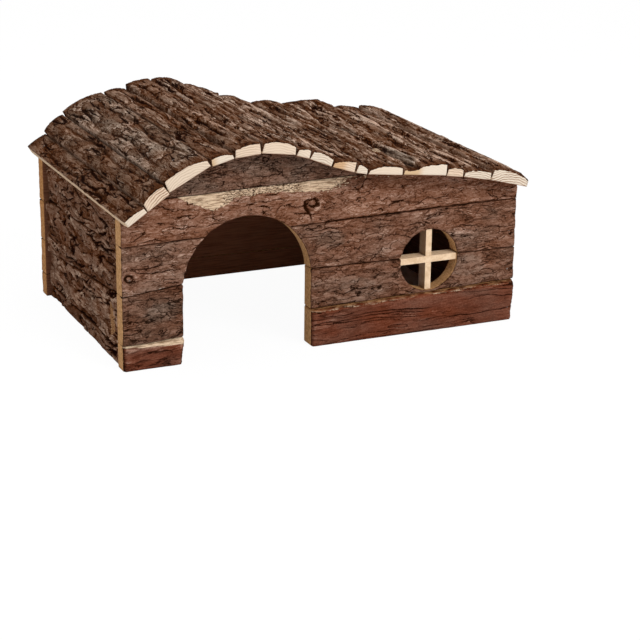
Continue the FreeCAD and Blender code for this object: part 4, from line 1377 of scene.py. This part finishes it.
def bark_material(name, bark, wood, end, edge):
    """Bark over sawn wood, parted by how deep a place lies."""
    material = bpy.data.materials.new(name)
    nodes = blank(material)
    span, blend = nodes.span, nodes.blend
    kept = {key: nodes.attribute(key.lower())["Vector"] for key in ("Flake", "Split", "Gape")}
    grain = nodes.attribute("grain")["Vector"]
    tone, redness, bare = nodes.parts(nodes.attribute("bark")["Vector"])
    plate_across = 1 / (bark.plate_width * MM)
    faces = {
        "Grain": grain,
        "Tone": tone,
        "Redness": redness,
        "Edge Shade": bark.edge_shade,
        "Plate Scale": (1 / (bark.plate_length * MM), plate_across, plate_across),
        "Plate Edge": bark.plate_edge,
        **{key: getattr(bark, key.lower()) for key in TONES},
        **kept,
    }
    sawn = {
        "Grain": grain,
        "Facing": nodes.attribute("facing")["Vector"],
        "Wood": nodes.attribute("wood")["Vector"],
        "End": end,
        "Late": wood.late_wood,
        "Edge": edge,
        "Inside": wood.inside,
    }
    faces = nodes.add("Group", faces, node_tree=bark_group()).outputs
    sawn = nodes.add("Group", sawn, node_tree=sawn_group()).outputs
    cut = span(nodes.attribute("under")["Fac"], -0.12, 0.12)

    # Where the bark has come away: pale and streaked, or tan where it is given as very red
    fibre = nodes.noise(grain, (0.12, 0.9, 0.9), 4.0, 0.65)
    fleck = nodes.noise(grain, (0.5, 1.1, 1.1), 4.0, 0.75)
    torn = blend(span(fibre, 0.40, 0.66), wood.bare, STREAK)
    flecked = span(nodes.less(fleck, span(redness, -1.0, 0.0, 0.12, 0.0)), 0.49, 0.55)
    torn = blend(flecked, torn, FLECK)
    torn = blend(span(redness, 1.2, 2.0), torn, blend(span(fleck, 0.42, 0.62), *FIBRES))

    colour = blend(span(bare, 0.42, 0.58), faces["Colour"], torn)
    colour = blend(cut, colour, sawn["Colour"])
    roughness, height = (
        nodes.add("Mix", {0: cut, 2: faces[key], 3: sawn[key]}).outputs[0]
        for key in ("Roughness", "Height")
    )
    close_material(nodes, colour, roughness, height, BARK_BUMP, **{"Specular IOR Level": 0.02})
    return material


def planed_material(wood):
    """Planed pale wood with fine fibres, and browner sides that face along x, as painted shade."""
    material = bpy.data.materials.new("planed_wood")
    nodes = blank(material)
    place = nodes.add("TexCoord").outputs["Object"]
    fibre = nodes.noise(place, (260.0, 260.0, 260.0), 4.0, 0.6)
    spread = nodes.noise(place, (90.0, 90.0, 90.0), 2.0)
    tan = nodes.tinted(wood.planed, (0.80, 0.74, 0.66))
    colour = nodes.blend(nodes.span(fibre, 0.35, 0.7), wood.planed, tan)
    colour = nodes.blend(nodes.span(spread, 0.5, 0.8, 0.0, 0.5), colour, tan)
    # Painted shade on the sides that face along x
    brown = nodes.tinted(colour, (0.36, 0.29, 0.22))
    colour = nodes.blend(nodes.attribute("sawn_side")["Fac"], colour, brown)
    close_material(nodes, colour, nodes.span(fibre, 0.2, 0.8, 0.5, 0.7), fibre, PLANED_BUMP)
    return material


def brad_material():
    """Dull steel wire, a little rusted."""
    material = bpy.data.materials.new("brad_steel")
    nodes = blank(material)
    place = nodes.add("TexCoord").outputs["Object"]
    rust = nodes.noise(place, (900.0, 900.0, 900.0))
    colour = nodes.blend(nodes.span(rust, 0.45, 0.65), (0.20, 0.17, 0.15), (0.10, 0.05, 0.03))
    metal = nodes.span(rust, 0.45, 0.65, 1.0, 0.2)
    roughness = nodes.span(rust, 0.3, 0.7, 0.4, 0.8)
    close_material(nodes, colour, roughness, rust, STEEL_BUMP, Metallic=metal)
    return material


# The wood that shows at the ends and the edges of boards with each bark
SAWN = {
    "wall": ("board_end", "board_end"),
    "side": ("board_end", "board_end"),
    "sill": ("board_end", "board_end"),
    "roof": ("end_grain", "bare"),
}
MATERIALS = {}


def finish_material(kind, settings):
    """The material of one finish, made when it is first needed."""
    if kind not in MATERIALS:
        wood = settings.wood
        if kind in SAWN:
            name = kind + "_bark"
            end, edge = (getattr(wood, colour) for colour in SAWN[kind])
            MATERIALS[kind] = bark_material(name, getattr(settings, name), wood, end, edge)
        else:
            MATERIALS[kind] = planed_material(wood) if kind == "planed" else brad_material()
    return MATERIALS[kind]


# Operators

# The ways that grain runs and that bark faces look into their boards
RIGHTWARD, LEFTWARD = (1, 0, 0), (-1, 0, 0)
BACKWARD, FORWARD = (0, 1, 0), (0, -1, 0)


def finish_boards(context, nodes, kind, grain, down=None):
    """Finish boards of one wall alike, each with a pattern of its own."""
    settings = context.scene.bark_house
    for node in nodes:
        piece = bark_board(node, settings, getattr(settings, kind + "_bark"), grain, down)
        piece.data.materials.append(finish_material(kind, settings))
    return {"FINISHED"}


class HouseOperator(bpy.types.Operator):
    """Something that finishes a part of the house."""

    bl_options = {"REGISTER", "UNDO"}


class BARKHOUSE_OT_front_wall(HouseOperator):
    """Carve the bark of the front wall's boards and sills"""

    bl_idname = "bark_house.front_wall"
    bl_label = "Front Wall"

    def execute(self, context):
        finish_boards(context, FRONT_BOARDS, "wall", RIGHTWARD, BACKWARD)
        return finish_boards(context, FRONT_SILLS, "sill", RIGHTWARD, BACKWARD)


class BARKHOUSE_OT_back_wall(HouseOperator):
    """Carve the bark of the back wall's boards"""

    bl_idname = "bark_house.back_wall"
    bl_label = "Back Wall"

    def execute(self, context):
        return finish_boards(context, BACK_BOARDS, "wall", RIGHTWARD, FORWARD)


class BARKHOUSE_OT_side_walls(HouseOperator):
    """Carve the bark of both side walls' boards"""

    bl_idname = "bark_house.side_walls"
    bl_label = "Side Walls"

    def execute(self, context):
        finish_boards(context, LEFT_BOARDS, "side", BACKWARD, RIGHTWARD)
        return finish_boards(context, RIGHT_BOARDS, "side", BACKWARD, LEFTWARD)


class BARKHOUSE_OT_roof(HouseOperator):
    """Carve the bark of the roof slats"""

    bl_idname = "bark_house.roof"
    bl_label = "Roof"

    def execute(self, context):
        return finish_boards(context, ROOF_SLATS, "roof", BACKWARD)


# Edges of window bars that turn less than the first angle are joined, and over the second eased
FLAT = math.radians(1)
SHARP = math.radians(60)


def eased_bar(node, ease_by):
    """A window bar's mesh with its edges eased, and with its sides that face along x marked for
    painted shade.
    """
    shape = merged(node)
    bmesh.ops.dissolve_limit(shape, angle_limit=FLAT, verts=shape.verts, edges=shape.edges)
    edges = [edge for edge in shape.edges if edge.calc_face_angle(0.0) > SHARP]
    bmesh.ops.bevel(
        shape,
        geom=edges,
        offset=ease_by,
        affect="EDGES",
        segments=2,
        profile=0.5,
        material=-1,
        clamp_overlap=True,
    )
    bmesh.ops.triangulate(shape, faces=shape.faces)
    mesh = mesh_of(shape, node + "_planed")
    sides = mesh.attributes.new("sawn_side", "FLOAT", "FACE")
    sides.data.foreach_set("value", [float(abs(face.normal.x) > 0.7) for face in mesh.polygons])
    return mesh


class BARKHOUSE_OT_window_bars(HouseOperator):
    """Ease the edges of the window bars and plane them"""

    bl_idname = "bark_house.window_bars"
    bl_label = "Window Bars"

    def execute(self, context):
        settings = context.scene.bark_house
        for node in WINDOW_BARS:
            piece = new_object(node + "_planed", eased_bar(node, settings.wood.bar_edge))
            piece.data.materials.append(finish_material("planed", settings))
            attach(piece, "root")
            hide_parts(node)
        return {"FINISHED"}


class BARKHOUSE_OT_brads(HouseOperator):
    """Give the brads their steel"""

    bl_idname = "bark_house.brads"
    bl_label = "Brads"

    def execute(self, context):
        for node in BRADS:
            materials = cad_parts[node].data.materials
            materials.clear()
            materials.append(finish_material("brad", context.scene.bark_house))
        return {"FINISHED"}


# Where the shaded floor deep in the house begins and ends along x and y, in metres. Its left end
# leans with the line of sight past the doorway
SIGHT_SLOPE = 0.458
SHADE_ENDS = {"x": ((0.060, 0.075), (0.150, 0.146)), "y": ((-0.090, -0.080), (0.096, 0.090))}
# The share of white in what the camera sees of the floor, and the strength of that white
FLOOR_WHITE = 0.94
FLOOR_GLOW = 1.02
FLOOR_SIZE = 8.0
WHITE = (1.0, 1.0, 1.0)
GREY = (0.8, 0.8, 0.8)
DAYLIGHT = (1.0, 0.99, 0.97)
# Where each light stands and how wide it is, and what both look at, in metres
LIGHTS = {"key": ((0.55, -1.5, 1.25), 0.9), "top": ((-0.2, 0.1, 1.8), 1.2)}
AIM = Vector((0.0, 0.0, 0.07))
# The width of the camera's picture, in mm
FILM_WIDTH = 36.0


def floor_whiteness(nodes):
    """How white the floor is: less so deep in the house, behind the window, where it is shaded."""
    x, y, _ = nodes.parts(nodes.add("TexCoord").outputs["Object"])
    (left, right), (front, back) = SHADE_ENDS["x"], SHADE_ENDS["y"]
    shaded = nodes.span(nodes.less(x, nodes.times(y, SIGHT_SLOPE)), *left)
    for place, limits in ((x, right), (y, front), (y, back)):
        shaded = nodes.times(shaded, nodes.span(place, *limits))
    return nodes.times(nodes.less(1.0, shaded), FLOOR_WHITE)


def show_white(nodes, lit, white, whiteness, output):
    """Let the camera, reflections and clear things see a share of white instead of what is lit."""
    path = nodes.add("LightPath").outputs
    seen = nodes.math("MAXIMUM", path["Is Camera Ray"], path["Is Glossy Ray"])
    seen = nodes.math("MAXIMUM", seen, path["Is Transmission Ray"])
    shaders = {1: lit.outputs[0], 2: white.outputs[0]}
    mixed = nodes.add("MixShader", {0: nodes.times(seen, whiteness), **shaders})
    nodes.add(output, {"Surface": mixed.outputs[0]})


def floor_material():
    """Grey paper that the camera sees as white."""
    material = bpy.data.materials.new("floor_paper")
    nodes = blank(material)
    lit = nodes.add("BsdfDiffuse", {"Color": GREY})
    white = nodes.add("Emission", {"Color": WHITE, "Strength": FLOOR_GLOW})
    show_white(nodes, lit, white, floor_whiteness(nodes), "OutputMaterial")
    return material


def studio_world(fill):
    """Light from all round, of the given strength, that the camera sees as white."""
    world = bpy.data.worlds.new("studio")
    nodes = blank(world)
    lit = nodes.add("Background", {"Color": DAYLIGHT, "Strength": fill})
    white = nodes.add("Background", {"Color": WHITE, "Strength": 1.0})
    show_white(nodes, lit, white, 1.0, "OutputWorld")
    return world


def studio_light(name, power):
    """A square light that shines on the house."""
    lamp = bpy.data.lights.new(name, "AREA")
    lamp.energy = power
    light = new_object(name, lamp)
    light.location, lamp.size = LIGHTS[name]
    light.rotation_euler = (AIM - light.location).to_track_quat("-Z", "Y").to_euler()


def studio_camera(studio):
    """The camera, turned from straight down by its three angles."""
    camera = new_object("camera", bpy.data.cameras.new("camera"))
    camera.data.lens = studio.focal_length
    camera.data.sensor_width = FILM_WIDTH
    turn = Matrix.Rotation(-studio.camera_round, 4, "Z")
    turn = turn @ Matrix.Rotation(math.pi / 2 - studio.camera_down, 4, "X")
    turn = turn @ Matrix.Rotation(studio.camera_roll, 4, "Z")
    camera.matrix_world = Matrix.Translation(studio.camera_place) @ turn
    return camera


class BARKHOUSE_OT_stage(HouseOperator):
    """Set up the floor, the soft lights and the camera"""

    bl_idname = "bark_house.stage"
    bl_label = "Stage"

    def execute(self, context):
        scene, studio = context.scene, context.scene.bark_house.studio
        scene.view_settings.view_transform = "Standard"
        shape = bmesh.new()
        bmesh.ops.create_grid(shape, x_segments=1, y_segments=1, size=FLOOR_SIZE)
        floor = new_object("floor", mesh_of(shape, "floor"))
        floor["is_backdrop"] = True
        floor.data.materials.append(floor_material())
        scene.world = studio_world(studio.fill)
        studio_light("key", studio.key_power)
        studio_light("top", studio.top_power)
        scene.camera = studio_camera(studio)
        return {"FINISHED"}


OPERATORS = (
    BARKHOUSE_OT_front_wall,
    BARKHOUSE_OT_back_wall,
    BARKHOUSE_OT_side_walls,
    BARKHOUSE_OT_roof,
    BARKHOUSE_OT_window_bars,
    BARKHOUSE_OT_brads,
    BARKHOUSE_OT_stage,
)


class BARKHOUSE_PT_panel(bpy.types.Panel):
    """Lists the steps of the finish"""

    bl_idname = "BARKHOUSE_PT_panel"
    bl_label = "Bark House"
    bl_space_type = "VIEW_3D"
    bl_region_type = "UI"
    bl_category = "Bark House"

    def draw(self, context):
        for operator in OPERATORS:
            self.layout.operator(operator.bl_idname)


CLASSES = (
    WallBark,
    SideBark,
    RoofBark,
    SillBark,
    SawnWood,
    Studio,
    HouseSettings,
    *OPERATORS,
    BARKHOUSE_PT_panel,
)


def register():
    for kind in CLASSES:
        bpy.utils.register_class(kind)
    bpy.types.Scene.bark_house = PointerProperty(type=HouseSettings)


def unregister():
    del bpy.types.Scene.bark_house
    for kind in reversed(CLASSES):
        bpy.utils.unregister_class(kind)


def main():
    register()
    for operator in OPERATORS:
        group, name = operator.bl_idname.split(".")
        getattr(getattr(bpy.ops, group), name)()
    boxes = {"cad": CAD_BOX, "visual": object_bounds()}
    {name: [list(corner) for corner in box] for name, box in boxes.items()}


if __name__ == "__main__":
    main()
